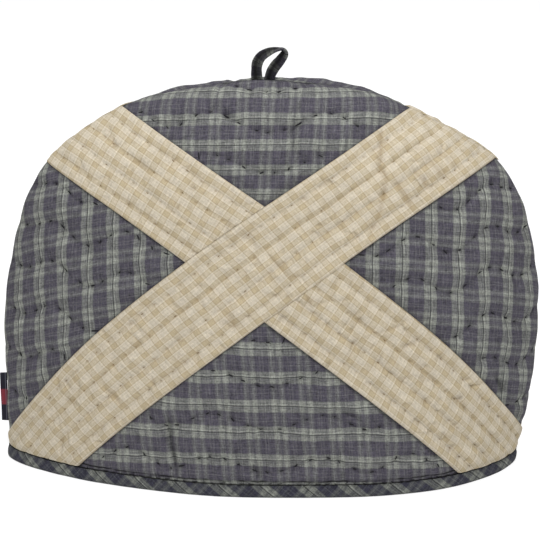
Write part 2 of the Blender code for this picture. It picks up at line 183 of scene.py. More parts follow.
# %% Rows of quilting stitches
ROW_START = 0.0230
ROW_PITCH = 0.0303
ROW_CLOSER = 4
ROW_PITCH_TOP = 0.0265
PROFILE_Z = np.linspace(0.0, HEIGHT, 400)
PROFILE_Y = depth(np.zeros(400), PROFILE_Z)
PROFILE_RUN = np.concatenate(
    [[0.0], np.cumsum(np.hypot(np.diff(PROFILE_Z), np.diff(PROFILE_Y)))]
)


def row_number(q):
    """Counts rows up the wall: a whole number on a row, and a share between two."""
    rise = np.interp(q, PROFILE_Z, PROFILE_RUN) - ROW_START
    low = rise / ROW_PITCH
    high = ROW_CLOSER + (rise - ROW_CLOSER * ROW_PITCH) / ROW_PITCH_TOP
    return np.where(low < ROW_CLOSER, low, high)


def row_height(number):
    low = np.minimum(number, ROW_CLOSER) * ROW_PITCH
    high = np.maximum(number - ROW_CLOSER, 0) * ROW_PITCH_TOP
    return np.interp(ROW_START + low + high, PROFILE_RUN, PROFILE_Z)


print("rows of stitches up a wall:", int(row_number(HEIGHT * 0.98)) + 1)

# %% The rows' waves
WAVE = 0.0052
WAVE_SIDE = 0.0066
WAVE_LENGTH = 0.050
WAVE_DRAW = 2.12
WAVE_DRAW_WIDTH = 0.045
CALM_SIDE = 0.025
CALM_HEM = 0.015
BACK_SHIFT = 0.9


def wave(x, q, facing):
    """How far a row is raised or lowered at x; the back's waves are shifted."""
    phase = 2 * math.pi * x / WAVE_LENGTH - WAVE_DRAW * np.tanh(x / WAVE_DRAW_WIDTH)
    size = WAVE + (WAVE_SIDE - WAVE) * smooth(np.abs(x) / HALF_WIDTH)
    calm = smooth(depth(x, q) / CALM_SIDE) * smooth((q - HEM_HEIGHT) / CALM_HEM)
    return -size * calm * np.cos(phase + (BACK_SHIFT if facing > 0 else 0.0))


print("rows wave by %.1f mm in the middle and %.1f mm at the sides"
      % (WAVE * 1000, WAVE_SIDE * 1000))

# %% [markdown]
# The cross is straight in the flat cut of the cloth, and bends with the wall once it is sewn.
# U and V are the cut's own directions. Two small functions turn a place on the wall into U and V
# and back, so that an edge, a stitch or a stripe can be laid out flat, as a maker would.

# %% The flat cut
CUT_VIEW = math.radians(20.0)
SIDE_TURN = 0.030
TOP_TURN = 0.0065
CLOSE_IN_STEPS = 70


def side_turn(x, z):
    """How far the cloth is turned outwards low beside the seam."""
    return SIDE_TURN * (x / HALF_WIDTH) ** 4 * np.sign(x) * (1 - smooth((z - 0.05) / 0.15))


def top_turn(z):
    """How far the cloth is turned upwards near the top."""
    return TOP_TURN * smooth((z - 0.16) / 0.09)


def cut_place(x, z, facing):
    v = z * math.cos(CUT_VIEW) - depth(x, z) * math.sin(CUT_VIEW)
    return -facing * (x + side_turn(x, z)), v + top_turn(z)


def wall_place(u, v, facing):
    """The place on the wall that has the given U and V, found by closing in on it."""
    x, z = -facing * u, v.copy()
    for _ in range(CLOSE_IN_STEPS):
        x = (x - facing * u - side_turn(x, z)) / 2
        rise = v + depth(x, z) * math.sin(CUT_VIEW) - top_turn(z)
        z = (z + rise / math.cos(CUT_VIEW)) / 2
    return x, z


TOP_UP = cut_place(np.zeros(1), np.array([HEIGHT]), -1)[1][0]
print("the top of the wall is %.0f mm up the cut" % (TOP_UP * 1000))

# %% The cross in the cut
CROSS_SLOPE = 36.7
CROSS_WIDTH = 0.0600
CROSS_HALF = CROSS_WIDTH / 2
CROSS_AT = np.array([-0.0025, 0.1331])


def bar_axes(rising):
    """Directions along and across a bar, the rising one or the falling one."""
    slope = math.radians(CROSS_SLOPE if rising else -CROSS_SLOPE)
    along = np.array([math.cos(slope), math.sin(slope)])
    return along, np.array([-along[1], along[0]])


def beside_bars(u, v):
    """Signed distances across from the middle line of the rising and of the falling bar."""
    place = np.stack([u, v], axis=-1) - CROSS_AT
    return [place @ bar_axes(rising)[1] for rising in (True, False)]


def beside_cross(u, v):
    """How far outside the cross a place is, and less than nothing on it."""
    rising, falling = beside_bars(u, v)
    return np.minimum(np.abs(rising), np.abs(falling)) - CROSS_HALF


print("the bars cross at %.1f degrees" % (2 * CROSS_SLOPE))

# %% [markdown]
# Wadding is never even. A lattice of random numbers, blended smoothly between its points, gives
# soft lumps of any size. The lattice has a fixed seed, so the cosy comes out the same every time.

# %% Soft lumps of wadding
def lumps(a, b, size, seed):
    """Smooth uneven heights from -1 to 1 over places (a, b), with lumps about size across."""
    table = np.random.default_rng(seed).uniform(-1, 1, (64, 64))
    a, b = a / size + 31.3, b / size + 17.7
    i, j = np.floor(a).astype(int), np.floor(b).astype(int)
    s, t = smooth(a - i), smooth(b - j)
    rows = [table[(i + k) % 64, j % 64] * (1 - t) + table[(i + k) % 64, (j + 1) % 64] * t
            for k in (0, 1)]
    return rows[0] * (1 - s) + rows[1] * s


def waver(a, size, seed):
    """The same along one direction only."""
    return lumps(a, a * 0, size, seed)


def wadding(a, b, seed):
    """Lumps of three sizes together."""
    return (0.5 * lumps(a, b, 0.019, seed) + 0.33 * lumps(a, b, 0.0095, seed + 1)
            + 0.17 * lumps(b, a, 0.0048, seed + 2))


print("wadding at three places:", np.round(wadding(np.array([0.0, 0.01, 0.02]), np.zeros(3), 4), 2))

# %% [markdown]
# Cloth over wadding also creases. A crease is a short line with a width and a height, gentle on
# one side and steep on the other, and a height below nothing makes a trough. Small ones are
# scattered by seeded numbers.

# %% One crease, and scattered ones
def fold(a, b, start, end, width, height):
    """One crease from start to end, gentle on one side and steep on the other."""
    (sa, sb), (ea, eb) = start, end
    t = ((a - sa) * (ea - sa) + (b - sb) * (eb - sb)) / ((ea - sa) ** 2 + (eb - sb) ** 2)
    t = np.clip(t, 0.0, 1.0)
    away = np.hypot(a - sa - t * (ea - sa), b - sb - t * (eb - sb))
    steep = (a - sa) * (eb - sb) - (b - sb) * (ea - sa) > 0
    away = away / np.where(steep, 0.6, 1.5) / width
    return height * np.exp(-(away**1.4)) * (1 - 0.6 * (2 * t - 1) ** 2)


PUCKER_REACH = (0.0015, 0.0055)
PUCKER_HEIGHT = (0.0004, 0.0010)
PUCKER_FAR = 0.016


def puckers(a, b, size_a, size_b, count, width, seed):
    """Short creases scattered over the cloth, each with its own turn, length and height."""
    random = np.random.default_rng(seed)
    total = np.zeros_like(a)
    for _ in range(count):
        ca, cb = random.uniform(-size_a, size_a), random.uniform(*size_b)
        turn = random.normal(math.pi / 2, 0.55)
        reach, broad = random.uniform(*PUCKER_REACH), width * random.uniform(0.6, 1.4)
        way = np.array([math.cos(turn), math.sin(turn)]) * reach
        height = random.uniform(*PUCKER_HEIGHT) * (-1 if random.uniform() < 0.65 else 0.7)
        near = np.abs(a - ca) + np.abs(b - cb) < PUCKER_FAR
        total[near] += fold(a[near], b[near], (ca - way[0], cb - way[1]),
                            (ca + way[0], cb + way[1]), broad, height)
    return total


# %% [markdown]
# The main creases have their own place. Those of the walls are placed across and up; those of the
# strips are placed along the strip and across it.

# %% Creases listed one by one
CREASES = [
    ((-0.0300, 0.2494), (-0.0235, 0.2470), 0.0027, -0.0018),
    ((0.0110, 0.2400), (0.0205, 0.2450), 0.0024, -0.0015),
    ((0.0151, 0.2439), (0.0146, 0.2245), 0.0027, -0.0014),
    ((0.0450, 0.0623), (0.0600, 0.0548), 0.0021, -0.0018),
    ((0.0292, 0.0861), (0.0280, 0.0781), 0.0021, -0.0012),
    ((-0.0091, 0.0211), (-0.0060, 0.0132), 0.0021, -0.0019),
    ((-0.0658, 0.0560), (-0.0645, 0.0380), 0.0021, -0.0022),
    ((-0.0645, 0.0400), (-0.0600, 0.0130), 0.0021, -0.0026),
    ((-0.0200, 0.0390), (-0.0195, 0.0250), 0.0021, -0.0011),
    ((0.0704, 0.1607), (0.0890, 0.1500), 0.0041, 0.0015),
    ((0.0690, 0.1560), (0.0880, 0.1440), 0.0035, -0.0015),
    ((0.1466, 0.0770), (0.1536, 0.0601), 0.0030, -0.0023),
    ((-0.0206, 0.1806), (-0.0060, 0.1672), 0.0030, -0.0015),
]
STRIP_CREASES = {
    "whole": [
        ((0.0625, -0.0260), (0.0755, -0.0180), 0.0014, -0.0009),
        ((0.0755, -0.0180), (0.0925, -0.0010), 0.0016, -0.0012),
        ((0.0925, -0.0010), (0.0946, 0.0090), 0.0016, -0.0013),
        ((0.0946, 0.0090), (0.1100, 0.0280), 0.0018, -0.0013),
        ((0.0955, -0.0040), (0.0950, -0.0280), 0.0018, -0.0011),
        ((0.1035, -0.0060), (0.1030, -0.0280), 0.0018, 0.0009),
        ((0.1100, -0.0040), (0.1120, -0.0260), 0.0016, -0.0009),
        ((0.1220, -0.0030), (0.1230, -0.0260), 0.0016, -0.0009),
        ((0.1310, 0.0000), (0.1340, -0.0240), 0.0018, -0.0008),
        ((0.0000, 0.0260), (0.0020, 0.0100), 0.0012, -0.0009),
        ((0.0045, 0.0050), (0.0075, -0.0180), 0.0013, -0.0010),
        ((0.0095, -0.0175), (0.0130, -0.0205), 0.0009, -0.0009),
        ((-0.1400, 0.0040), (-0.1365, -0.0180), 0.0013, -0.0009),
        ((-0.1990, -0.0150), (-0.1890, -0.0060), 0.0016, -0.0010),
    ],
    "upper": [
        ((-0.1130, 0.0050), (-0.0900, 0.0045), 0.0012, -0.0008),
        ((-0.0730, 0.0210), (-0.0600, 0.0205), 0.0010, -0.0007),
    ],
    "lower": [
        ((0.0320, -0.0010), (0.0400, -0.0040), 0.0012, -0.0011),
        ((0.0750, -0.0010), (0.0790, -0.0170), 0.0012, -0.0008),
        ((0.0850, 0.0070), (0.0920, 0.0180), 0.0011, -0.0007),
        ((0.1630, -0.0165), (0.1720, -0.0185), 0.0011, -0.0009),
    ],
}


def creases(a, b, lines):
    return sum((fold(a, b, *line) for line in lines), np.zeros_like(a))


print("creases placed by hand:", len(CREASES) + sum(map(len, STRIP_CREASES.values())))

# %% [markdown]
# Distance along the cloth matters twice: stripes are woven at an even pitch along it, and so are
# the stitches of a row. It is summed over short chords from the middle line out to each point.

# %% Way across the cloth
def cloth_run(x, z, steps=28):
    """Signed way across the wall from its middle line, at the point's own height."""
    run = np.zeros_like(x)
    before_x, before_y = np.zeros_like(x), depth(np.zeros_like(x), z)
    for k in range(1, steps + 1):
        here_x = x * math.sin(math.pi / 2 * k / steps)
        here_y = depth(here_x, z)
        run += np.hypot(here_x - before_x, here_y - before_y)
        before_x, before_y = here_x, here_y
    return run * np.sign(x)


print("half width along the cloth at the hem: %.0f mm"
      % (cloth_run(np.array([0.1660]), np.array([0.01]))[0] * 1000))

# %% [markdown]
# A cloth's colour is worked out from its pattern coordinates, which count repeats of the stripes.
# Such sums are long as nodes, so one small class lets a formula be written as a formula: adding
# or multiplying two of its objects adds the node that does it.

# %% Formulas as shader nodes
class Wire:
    """One output of a material's nodes; arithmetic on it adds the nodes that work it out."""

    def __init__(self, nodes, socket):
        self.nodes = nodes
        self.socket = socket

    def add(self, kind, settings=None, values=None, out=0):
        """Adds a node of any kind: its settings first, then values or wires for its sockets."""
        node = self.nodes.new(kind)
        for name, value in (settings or {}).items():
            setattr(node, name, value)
        for key, value in (values or {}).items():
            if isinstance(value, Wire):
                self.nodes.id_data.links.new(value.socket, node.inputs[key])
            else:
                node.inputs[key].default_value = value
        return Wire(self.nodes, node.outputs[out])

    def math(self, operation, *values, clamp=False):
        settings = {"operation": operation, "use_clamp": clamp}
        return self.add("ShaderNodeMath", settings, dict(enumerate(values)))

    def __add__(self, other):
        return self.math("ADD", self, other)

    def __sub__(self, other):
        return self.math("SUBTRACT", self, other)

    def __rsub__(self, other):
        return self.math("SUBTRACT", other, self)

    def __mul__(self, other):
        return self.math("MULTIPLY", self, other)

    __radd__ = __add__
    __rmul__ = __mul__

    def blend(self, low, high):
        """A colour between low and high, by this wire's share."""
        values = {0: self, 6: low, 7: high}
        return self.add("ShaderNodeMix", {"data_type": "RGBA"}, values, out=2)

    def tint(self, shade):
        """This colour, with every channel times a shade."""
        values = {0: self, 3: shade}
        return self.add("ShaderNodeVectorMath", {"operation": "SCALE"}, values)


def linear(red, green, blue):
    """A colour given as 0 to 255, in the light-linear values that shaders use."""
    c = np.array([red, green, blue]) / 255
    c = np.where(c <= 0.04045, c / 12.92, ((c + 0.055) / 1.055) ** 2.4)
    return (*map(float, c), 1.0)


# %% Stripes, threads and grain
def stripe(across, centre, width, soft=0.016):
    """1 on a stripe of each repeat and 0 beside it; sizes are shares of the repeat."""
    off = (across - (centre - 0.5)).math("FRACT", across - (centre - 0.5)) - 0.5
    away = off.math("ABSOLUTE", off)
    return away.math("MULTIPLY_ADD", away, -1.0 / soft, 0.5 * width / soft + 0.5, clamp=True)


def stripes(colour, across, places, width, soft, thread):
    """Lays stripes of one thread over a colour; each has its place and the share it shows."""
    for place, share in places:
        colour = (stripe(across, place, width, soft) * share).blend(colour, thread)
    return colour


def threads(a, b, count):
    """Over and under of a plain weave with count threads to each repeat, from 0 to 1."""
    sides = [w.math("SINE", w * (math.pi * count)) for w in (a, b)]
    return sides[0] * sides[1] * 0.5 + 0.5


def grain(wire, vector, scale, detail=3.0, rough=0.6):
    values = {"Vector": vector, "Scale": scale, "Detail": detail, "Roughness": rough}
    return wire.add("ShaderNodeTexNoise", {"noise_dimensions": "3D"}, values)


# %% The start and the end of a finish
class Finish:
    """A material in the making: its shader, its pattern coordinates and its places."""

    def __init__(self, name, roughness):
        self.material = bpy.data.materials.new(name)
        self.material.use_nodes = True
        nodes = self.material.node_tree.nodes
        self.shader = nodes["Principled BSDF"]
        self.shader.inputs["Roughness"].default_value = roughness
        self.shader.inputs["Specular IOR Level"].default_value = 0.25
        start = Wire(nodes, self.shader.outputs[0])
        self.place = start.add("ShaderNodeTexCoord", out="Object")
        self.uv = start.add("ShaderNodeUVMap", {"uv_map": "cut"})
        self.across, self.up = [
            self.uv.add("ShaderNodeSeparateXYZ", values={0: self.uv}, out=k) for k in (0, 1)
        ]

    def attribute(self, name):
        return self.uv.add("ShaderNodeAttribute", {"attribute_name": name}, out=2)

    def stretched(self, along, across):
        """The pattern coordinates scaled unevenly, for streaks that run along a thread."""
        values = {0: self.uv, 1: (along, across, 1.0)}
        return self.uv.add("ShaderNodeVectorMath", {"operation": "MULTIPLY"}, values)

    def done(self, colour, height, distance):
        """Joins the colour and the height of the surface to the shader."""
        links = self.material.node_tree.links
        links.new(colour.socket, self.shader.inputs["Base Color"])
        values = {"Height": height, "Distance": distance, "Strength": 1.0}
        relief = colour.add("ShaderNodeBump", values=values)
        links.new(relief.socket, self.shader.inputs["Normal"])
        print("finish", self.material.name, "with", len(self.material.node_tree.nodes), "nodes")
        return self.material


# %% [markdown]
# The walls are a slate and sage plaid. In a woven plaid each colour is a stripe of the warp or of
# the weft, and where they cross both show as tiny squares of thread. So the finish works out one
# colour for each direction and mixes them thread by thread.

# %% The slate plaid
SLATE = linear(73, 70, 80)
SAGE = linear(130, 133, 125)
PALE = linear(176, 179, 168)
DUSK = linear(40, 40, 44)
BIAS_SLATE = linear(58, 58, 71)
LOOP_SLATE = linear(66, 63, 76)
PLAID_THREADS = 42
WARP_PALE = ((0.43, 0.14), (0.53, 0.12), (-0.16, 0.22), (0.15, 0.22))
WARP_SLATE = ((-0.10, 0.30), (0.22, 0.30), (0.02, 0.30))
WEFT_PALE = ((0.055, 0.70), (0.16, 0.20), (0.44, 0.12), (0.57, 0.10))


def plaid_colour(finish, slate):
    """The plaid from the finish's own coordinates: repeats across, and repeats up."""
    across, up = finish.across, finish.up
    pair = stripe(across, -0.15, 0.20, 0.05) + stripe(across, 0.15, 0.20, 0.05)
    warp = ((pair + stripe(across, 0.0, 0.10) * 0.30) * 0.50).blend(slate, SAGE)
    warp = stripes(warp, across, WARP_PALE, 0.055, 0.03, PALE)
    warp = stripes(warp, across, WARP_SLATE, 0.030, 0.016, slate)
    band = stripe(up, 0.0, 0.45, 0.03)
    weft = (band * 0.83).blend(slate, SAGE)
    weft = stripes(weft, up, WEFT_PALE, 0.035, 0.016, PALE)
    weft = (stripe(up, -0.075, 0.03) * 0.5).blend(weft, slate)
    woven = (threads(across, up, PLAID_THREADS) * 0.6 + 0.25).blend(warp, weft)
    woven = (pair * band * 0.17).blend(woven, PALE)
    return (stripe(up, 0.0, 0.030, 0.012) * 0.80).blend(woven, DUSK)


# %% Weave, uneven tone and painted shade, the same for every cloth
def cloth_shade(finish, painted_shade, slub, fine):
    """Uneven yarn and soft patches, times the shade painted in hollows, creases and along edges."""
    streaks = grain(finish.uv, finish.stretched(2.2, fine), 1.0, 2.0, 0.75)
    streaks_up = grain(finish.uv, finish.stretched(fine, 2.2), 1.0, 2.0, 0.75)
    speckle = grain(finish.uv, finish.place, 900.0, 2.0, 0.7)
    patches = grain(finish.uv, finish.place, 60.0, 2.0)
    shade = (streaks + streaks_up * 1.1 + speckle - 1.55) * slub
    shade = shade + (patches - 0.5) * 0.18 + 1.0
    # Painted shade: each point is painted darker by its shade value, down to a tenth of its colour.
    kept = 1.0 - finish.attribute("painted_shade") * painted_shade
    return shade * kept.math("MAXIMUM", kept, 0.10)


def cloth_height(finish, count):
    """Thread bumps, and the small crinkles of washed cloth."""
    crinkle = grain(finish.uv, finish.place, 230.0, 4.0, 0.62)
    return threads(finish.across, finish.up, count) * 0.18 + crinkle


def plaid_finish(name, gain, painted_shade, slate):
    finish = Finish(name, 0.92)
    colour = plaid_colour(finish, slate).tint(cloth_shade(finish, painted_shade, 1.35, 26.0) * gain)
    return finish.done(colour, cloth_height(finish, PLAID_THREADS), 0.0015)


PLAID = plaid_finish("slate plaid cloth", 0.96, 0.50, SLATE)
BIAS = plaid_finish("bias plaid cloth", 0.72, 0.55, BIAS_SLATE)
DARK_STRIP = plaid_finish("loop cloth", 0.36, 0.86, LOOP_SLATE)

# %% [markdown]
# The cross is cut from a small cream check: tan and cream blocks, with a thin white line along
# both edges of a block, a thin brown line beside it, and a fainter pair inside.

# %% The cream check
CREAM = linear(195, 186, 169)
TAN = linear(177, 163, 135)
WHITE = linear(222, 215, 199)
BROWN = linear(136, 118, 88)
SHADE_BROWN = linear(128, 99, 50)
CHECK_THREADS = 24
CHECK_WHITE = ((0.25, 0.25), (-0.25, 0.20), (0.04, 0.12))
CHECK_BROWN = ((0.325, 0.34), (-0.325, 0.34), (0.14, 0.18), (-0.13, 0.16))


def check_finish():
    finish = Finish("cream check cloth", 0.9)
    sides = [(stripe(way, 0.0, 0.54, 0.15) * share).blend(TAN, CREAM)
             for way, share in ((finish.across, 0.80), (finish.up, 1.0))]
    woven = threads(finish.across, finish.up, CHECK_THREADS)
    colour = (woven * 0.4 + 0.32).blend(*sides)
    for way in (finish.across, finish.up):
        colour = stripes(colour, way, CHECK_WHITE, 0.045, 0.025, WHITE)
        colour = stripes(colour, way, CHECK_BROWN, 0.040, 0.025, BROWN)
    # Painted shade: stitch hollows, creases and edges are blended towards a warm brown, as shade on
    # cream cloth.
    colour = (finish.attribute("painted_shade") * 0.54).blend(colour, SHADE_BROWN)
    colour = colour.tint(cloth_shade(finish, 0.08, 0.40, 14.0))
    return finish.done(colour, cloth_height(finish, CHECK_THREADS), 0.0014)


CHECK = check_finish()

# %% [markdown]
# Tape and thread are small, but they are still woven and spun. The tab's tape is navy with one
# dull red band across, a pale line near its fold, and fine ribs. Thread is mottled, as spun
# cotton is, and a little rough.

# %% Tape and threads
NAVY = linear(22, 22, 33)
DULL_RED = linear(110, 40, 50)
PALE_LINE = linear(104, 106, 116)
DARK_COTTON = linear(26, 25, 30)
CREAM_COTTON = linear(118, 95, 54)


def tape_finish():
    finish = Finish("ribbed navy tape", 0.75)
    band = stripe(finish.across, 0.5, 0.33, 0.02)
    colour = band.blend(NAVY, DULL_RED)
    line = stripe(finish.up, 0.0885, 0.0014, 0.0006) * 0.5
    colour = line.blend(colour, PALE_LINE)
    rib = finish.up.math("SINE", finish.up * 500.0) * 0.5 + 0.5
    shade = grain(finish.uv, finish.stretched(30.0, 400.0), 1.0) * 0.5 + 0.75
    return finish.done(colour.tint(shade), rib, 0.00015)


def thread_finish(name, colour):
    finish = Finish(name, 0.7)
    fuzz = grain(finish.uv, finish.place, 2600.0, 2.0)
    shaded = (fuzz * 0.8).blend(colour, tuple(0.45 * c for c in colour[:3]) + (1.0,))
    return finish.done(shaded, fuzz, 0.0002)


TAPE = tape_finish()
DARK_THREAD = thread_finish("dark thread", DARK_COTTON)
CREAM_THREAD = thread_finish("cream thread", CREAM_COTTON)

# %% [markdown]
# Every cloth piece is a closed mesh. One helper makes it from arrays of points, with the cut's
# coordinates as a UV map and an attribute of painted shade, which says how much darker each point
# is painted for shade in stitched hollows, creases and along edges. A wall or a strip has a fine
# outer face, a coarser inner face, and a rim between them.

# %% Meshes from arrays
def put_in_scene(name, data):
    obj = bpy.data.objects.new(name, data)
    bpy.context.scene.collection.objects.link(obj)
    return obj


def corners_of(faces):
    """The points of all faces in one row, corner by corner."""
    return np.concatenate([np.array(face) for face in faces])


def add_piece(name, points, faces, uv, material, painted_shade=None):
    """A named mesh object; uv is one place for each corner of each face, in face order."""
    mesh = bpy.data.meshes.new(name)
    mesh.from_pydata(np.asarray(points, dtype=float).tolist(), [], faces)
    layer = mesh.uv_layers.new(name="cut")
    layer.data.foreach_set("uv", np.asarray(uv, dtype=np.float32).ravel())
    # Painted shade: how much darker each point is painted, for shade in hollows, creases and along
    # edges.
    shade_per_point = mesh.attributes.new("painted_shade", "FLOAT", "POINT")
    if painted_shade is not None:
        shade_per_point.data.foreach_set("value", np.asarray(painted_shade, dtype=np.float32).ravel())
    mesh.shade_smooth()
    mesh.materials.append(material)
    mesh.validate()
    obj = put_in_scene(name, mesh)
    bm = bmesh.new()
    bm.from_mesh(mesh)
    if bm.calc_volume(signed=True) < 0:
        bmesh.ops.reverse_faces(bm, faces=bm.faces)
        bm.to_mesh(mesh)
    print("%s: %d faces, %.1f ml" % (name, len(mesh.polygons), abs(bm.calc_volume()) * 1e6))
    bm.free()
    return obj


def dress(obj, node):
    """Says what a cloth piece rides on and which solid it stands for."""
    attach(obj, "root")
    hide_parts(node)
    return obj


# %% Closed sheets from grids
COARSE = 4


def grid_faces(rows, columns, first=0, flip=False):
    a = first + np.arange(rows - 1)[:, None] * columns + np.arange(columns - 1)
    quads = np.stack([a, a + 1, a + 1 + columns, a + columns], axis=-1).reshape(-1, 4)
    return quads[:, ::-1] if flip else quads


def border(rows, columns, first=0):
    """A grid's border points in order, round from its first corner."""
    low = [first + c for c in range(columns - 1)]
    right = [first + r * columns + columns - 1 for r in range(rows - 1)]
    top = [first + rows * columns - 1 - c for c in range(columns - 1)]
    left = [first + (rows - 1 - r) * columns for r in range(rows - 1)]
    return low + right + top + left


def add_sheet(name, outer, inner, places, material, painted_shade, outer_uv=None):
    """A closed sheet from its outer grid and an inner grid with every fourth line of it."""
    rows, columns = outer.shape[:2]
    first = rows * columns
    outer_faces = grid_faces(rows, columns)
    others = grid_faces(*inner.shape[:2], first=first, flip=True).tolist()
    out_ring, in_ring = border(rows, columns), border(*inner.shape[:2], first=first)
    for k, here in enumerate(in_ring):
        stretch = [out_ring[(COARSE * k + j) % len(out_ring)] for j in range(COARSE + 1)]
        others.append([*stretch[::-1], here, in_ring[(k + 1) % len(in_ring)]])
    if outer_uv is None:
        outer_uv = places[outer_faces]
    uv = np.concatenate([outer_uv.reshape(-1, 2), places[corners_of(others)]])
    points = np.concatenate([outer.reshape(-1, 3), inner.reshape(-1, 3)])
    shade_per_point = np.concatenate([painted_shade.ravel(), np.zeros(len(points) - first)])
    return add_piece(name, points, outer_faces.tolist() + others, uv, material, shade_per_point)


# %% [markdown]
# Between two rows the padding stands up in a soft ridge. At each stitch the thread pulls the cloth
# in, and between the stitches the cloth puckers, so a row reads as a string of small dimples.

# %% Where the stitches are
STITCH_PITCH = 0.0094
ROW_STAGGER = 0.37
BACK_STAGGER = 0.2


def off_beat(nearest, row, seed, step, row_step):
    """A stitch's own small error, from -1 to 1, the same each time it is asked for."""
    table = np.random.default_rng(seed).uniform(-1, 1, 4096)
    return table[(nearest * step + row * row_step) % len(table)]


def wall_beat(nearest, row):
    return off_beat(nearest, row, 11, 7, 131) * 0.16


def to_stitch(run, number, facing):
    """Signed way from a point to the nearest stitch of its row."""
    row = np.round(number).astype(int)
    place = run / STITCH_PITCH + ROW_STAGGER * row + (BACK_STAGGER if facing > 0 else 0.0)
    nearest = np.round(place).astype(int)
    return (place - nearest - wall_beat(nearest, row)) * STITCH_PITCH


def spot(a, b, size):
    """1 at one place and fading round it, with a size for each direction."""
    return np.exp(-((a / size[0]) ** 2) - (b / size[1]) ** 2)


print("stitches %.1f mm apart" % (STITCH_PITCH * 1000))


# %% Folds of a wall, and its painted shadow lines
# The gathers are pulled up by the binding. Each has its place above the hem and how tall it is.
WALL_SEED = {-1: 5, 1: 25}
PUCKER_COUNT = 340
PUCKER_WIDTH = 0.0021
GATHER = 0.0010
GATHER_UP = 0.005
GATHER_TALL = 0.0055
WRINKLE_UP = 0.0029
WRINKLE_TALL = 0.00055
DITCH_LOW = 0.0002
DITCH_TALL = 0.0007


def wall_folds(x, z, run, v, facing):
    """The listed creases, and the scattered ones with the gathers above the binding."""
    seed = WALL_SEED[facing]
    fixed = creases(x if facing < 0 else 0.7 * x, z, CREASES)
    scattered = puckers(run, v, 0.20, (-0.06, 0.26), PUCKER_COUNT, PUCKER_WIDTH, seed + 10)
    gathers = waver(run + 0.3 * z, 0.0042, seed + 14) + 0.6 * waver(run, 0.009, seed + 15)
    gathers = np.minimum(gathers + 0.25, 0.35) * bump(z - HEM_HEIGHT - GATHER_UP, GATHER_TALL)
    return fixed, scattered + GATHER * gathers


def binding_shadow(z, run):
    """A painted shadow line beside the binding, and a painted shade line for a wrinkle just above
    it.
    """
    wrinkle = HEM_HEIGHT + WRINKLE_UP + 0.0005 * waver(run, 0.012, 92)
    wrinkle = wrinkle + 0.0003 * waver(run, 0.003, 95)
    broken = 0.7 + 0.6 * waver(run, 0.004, 91)
    line = 3.0 * bump(z - HEM_HEIGHT + DITCH_LOW, DITCH_TALL)
    return line + 2.6 * broken * bump(z - wrinkle, WRINKLE_TALL)


# %% The quilted face
# Heights first: the ridge, the bed under the strips, and the lowest that a fold may go. Then each
# dimple, with how far it reaches, and how far each patch of painted shade reaches.
PUFF = 0.0030
BED = 0.0006
LOWEST = -0.0012
OPEN_WIDTH = 0.008
DIMPLE = 0.0011
DIMPLE_SIZE = (0.0022, 0.0026)
FAN = 0.00040
FAN_SIZE = 0.0065
STITCH_SHADE = (0.0018, 0.0012)
ROW_SHADE = 0.0016
EDGE_SHADE = 0.0010
SEAM_SHADE = 0.0022
CREASE_DEEP = 0.0021
PUCKER_SHADE = 300.0


def quilt(x, q, z, facing):
    """Height of the quilted face over its stitched lines, and the shade painted on it."""
    number = row_number(q)
    run = cloth_run(x, z)
    u, v = cut_place(x, z, facing)
    beside = beside_cross(u, v)
    open_wall = smooth((beside - 0.0005) / OPEN_WIDTH)
    off_row = np.abs(number - np.round(number)) * ROW_PITCH
    stitch = to_stitch(run, number, facing)
    fixed, scattered = wall_folds(x, z, run, v, facing)

    soft = wadding(run, v, WALL_SEED[facing])
    swell = np.abs(np.sin(math.pi * number)) ** 0.85
    pull = spot(stitch, off_row, DIMPLE_SIZE)
    fan = np.cos(2 * math.pi * stitch / STITCH_PITCH) * bump(off_row, FAN_SIZE)
    height = PUFF * (0.18 + 0.72 * swell) * (1 + 0.25 * soft) + 0.0009 * soft
    height += fixed + 1.4 * scattered - DIMPLE * pull - FAN * fan
    height = BED + np.maximum(height - BED, LOWEST - BED) * open_wall
    seam = roll_in(x, z) ** (1.0 if facing < 0 else 1.6)

    # Painted shade: along the rows, at each stitch, in the creases, beside the strips and near the
    # seam.
    row = 0.10 * bump(off_row, ROW_SHADE) + 0.8 * spot(stitch, off_row, STITCH_SHADE)
    crease = 1.2 * np.clip(-fixed / CREASE_DEEP, 0, 1) ** 1.7
    crease = crease - PUCKER_SHADE * np.minimum(scattered, 0)
    painted_shade = np.maximum(np.clip(row, 0, 1) * open_wall, crease * open_wall)
    painted_shade = painted_shade + 0.8 * bump(np.clip(beside, 0, 1), EDGE_SHADE)
    painted_shade = painted_shade + 0.45 * bump(depth(x, z), SEAM_SHADE)
    return height * seam * hem_in(z), np.clip(painted_shade, 0, 1.2) + binding_shadow(z, run)


# %% A wall's two faces
WALL = 0.0030


def outer_points(x, q, facing):
    z = q + wave(x, q, facing)
    height, painted_shade = quilt(x, q, z, facing)
    return seat_points(wall_point(x, z) + wall_normal(x, z) * height[..., None], facing), painted_shade, z


def inner_points(x, q, facing):
    p = wall_point(x, q)
    p *= [1 - WALL / HALF_WIDTH, 1 - WALL / HALF_DEPTH, 1 - WALL / HEIGHT]
    p[..., 2] += HEM_EDGE * WALL / HEIGHT
    return seat_points(p, facing)


# %% Grid of a wall
COLUMNS = 360
LEVELS_A_ROW = 24
LOW_LEVELS = 20
TOP_ROWS = 72
SHOULDER = 0.2340


def level_stations(across, q):
    return np.abs(across) * np.where(across < 0, seam_across(q, True), seam_across(q, False))


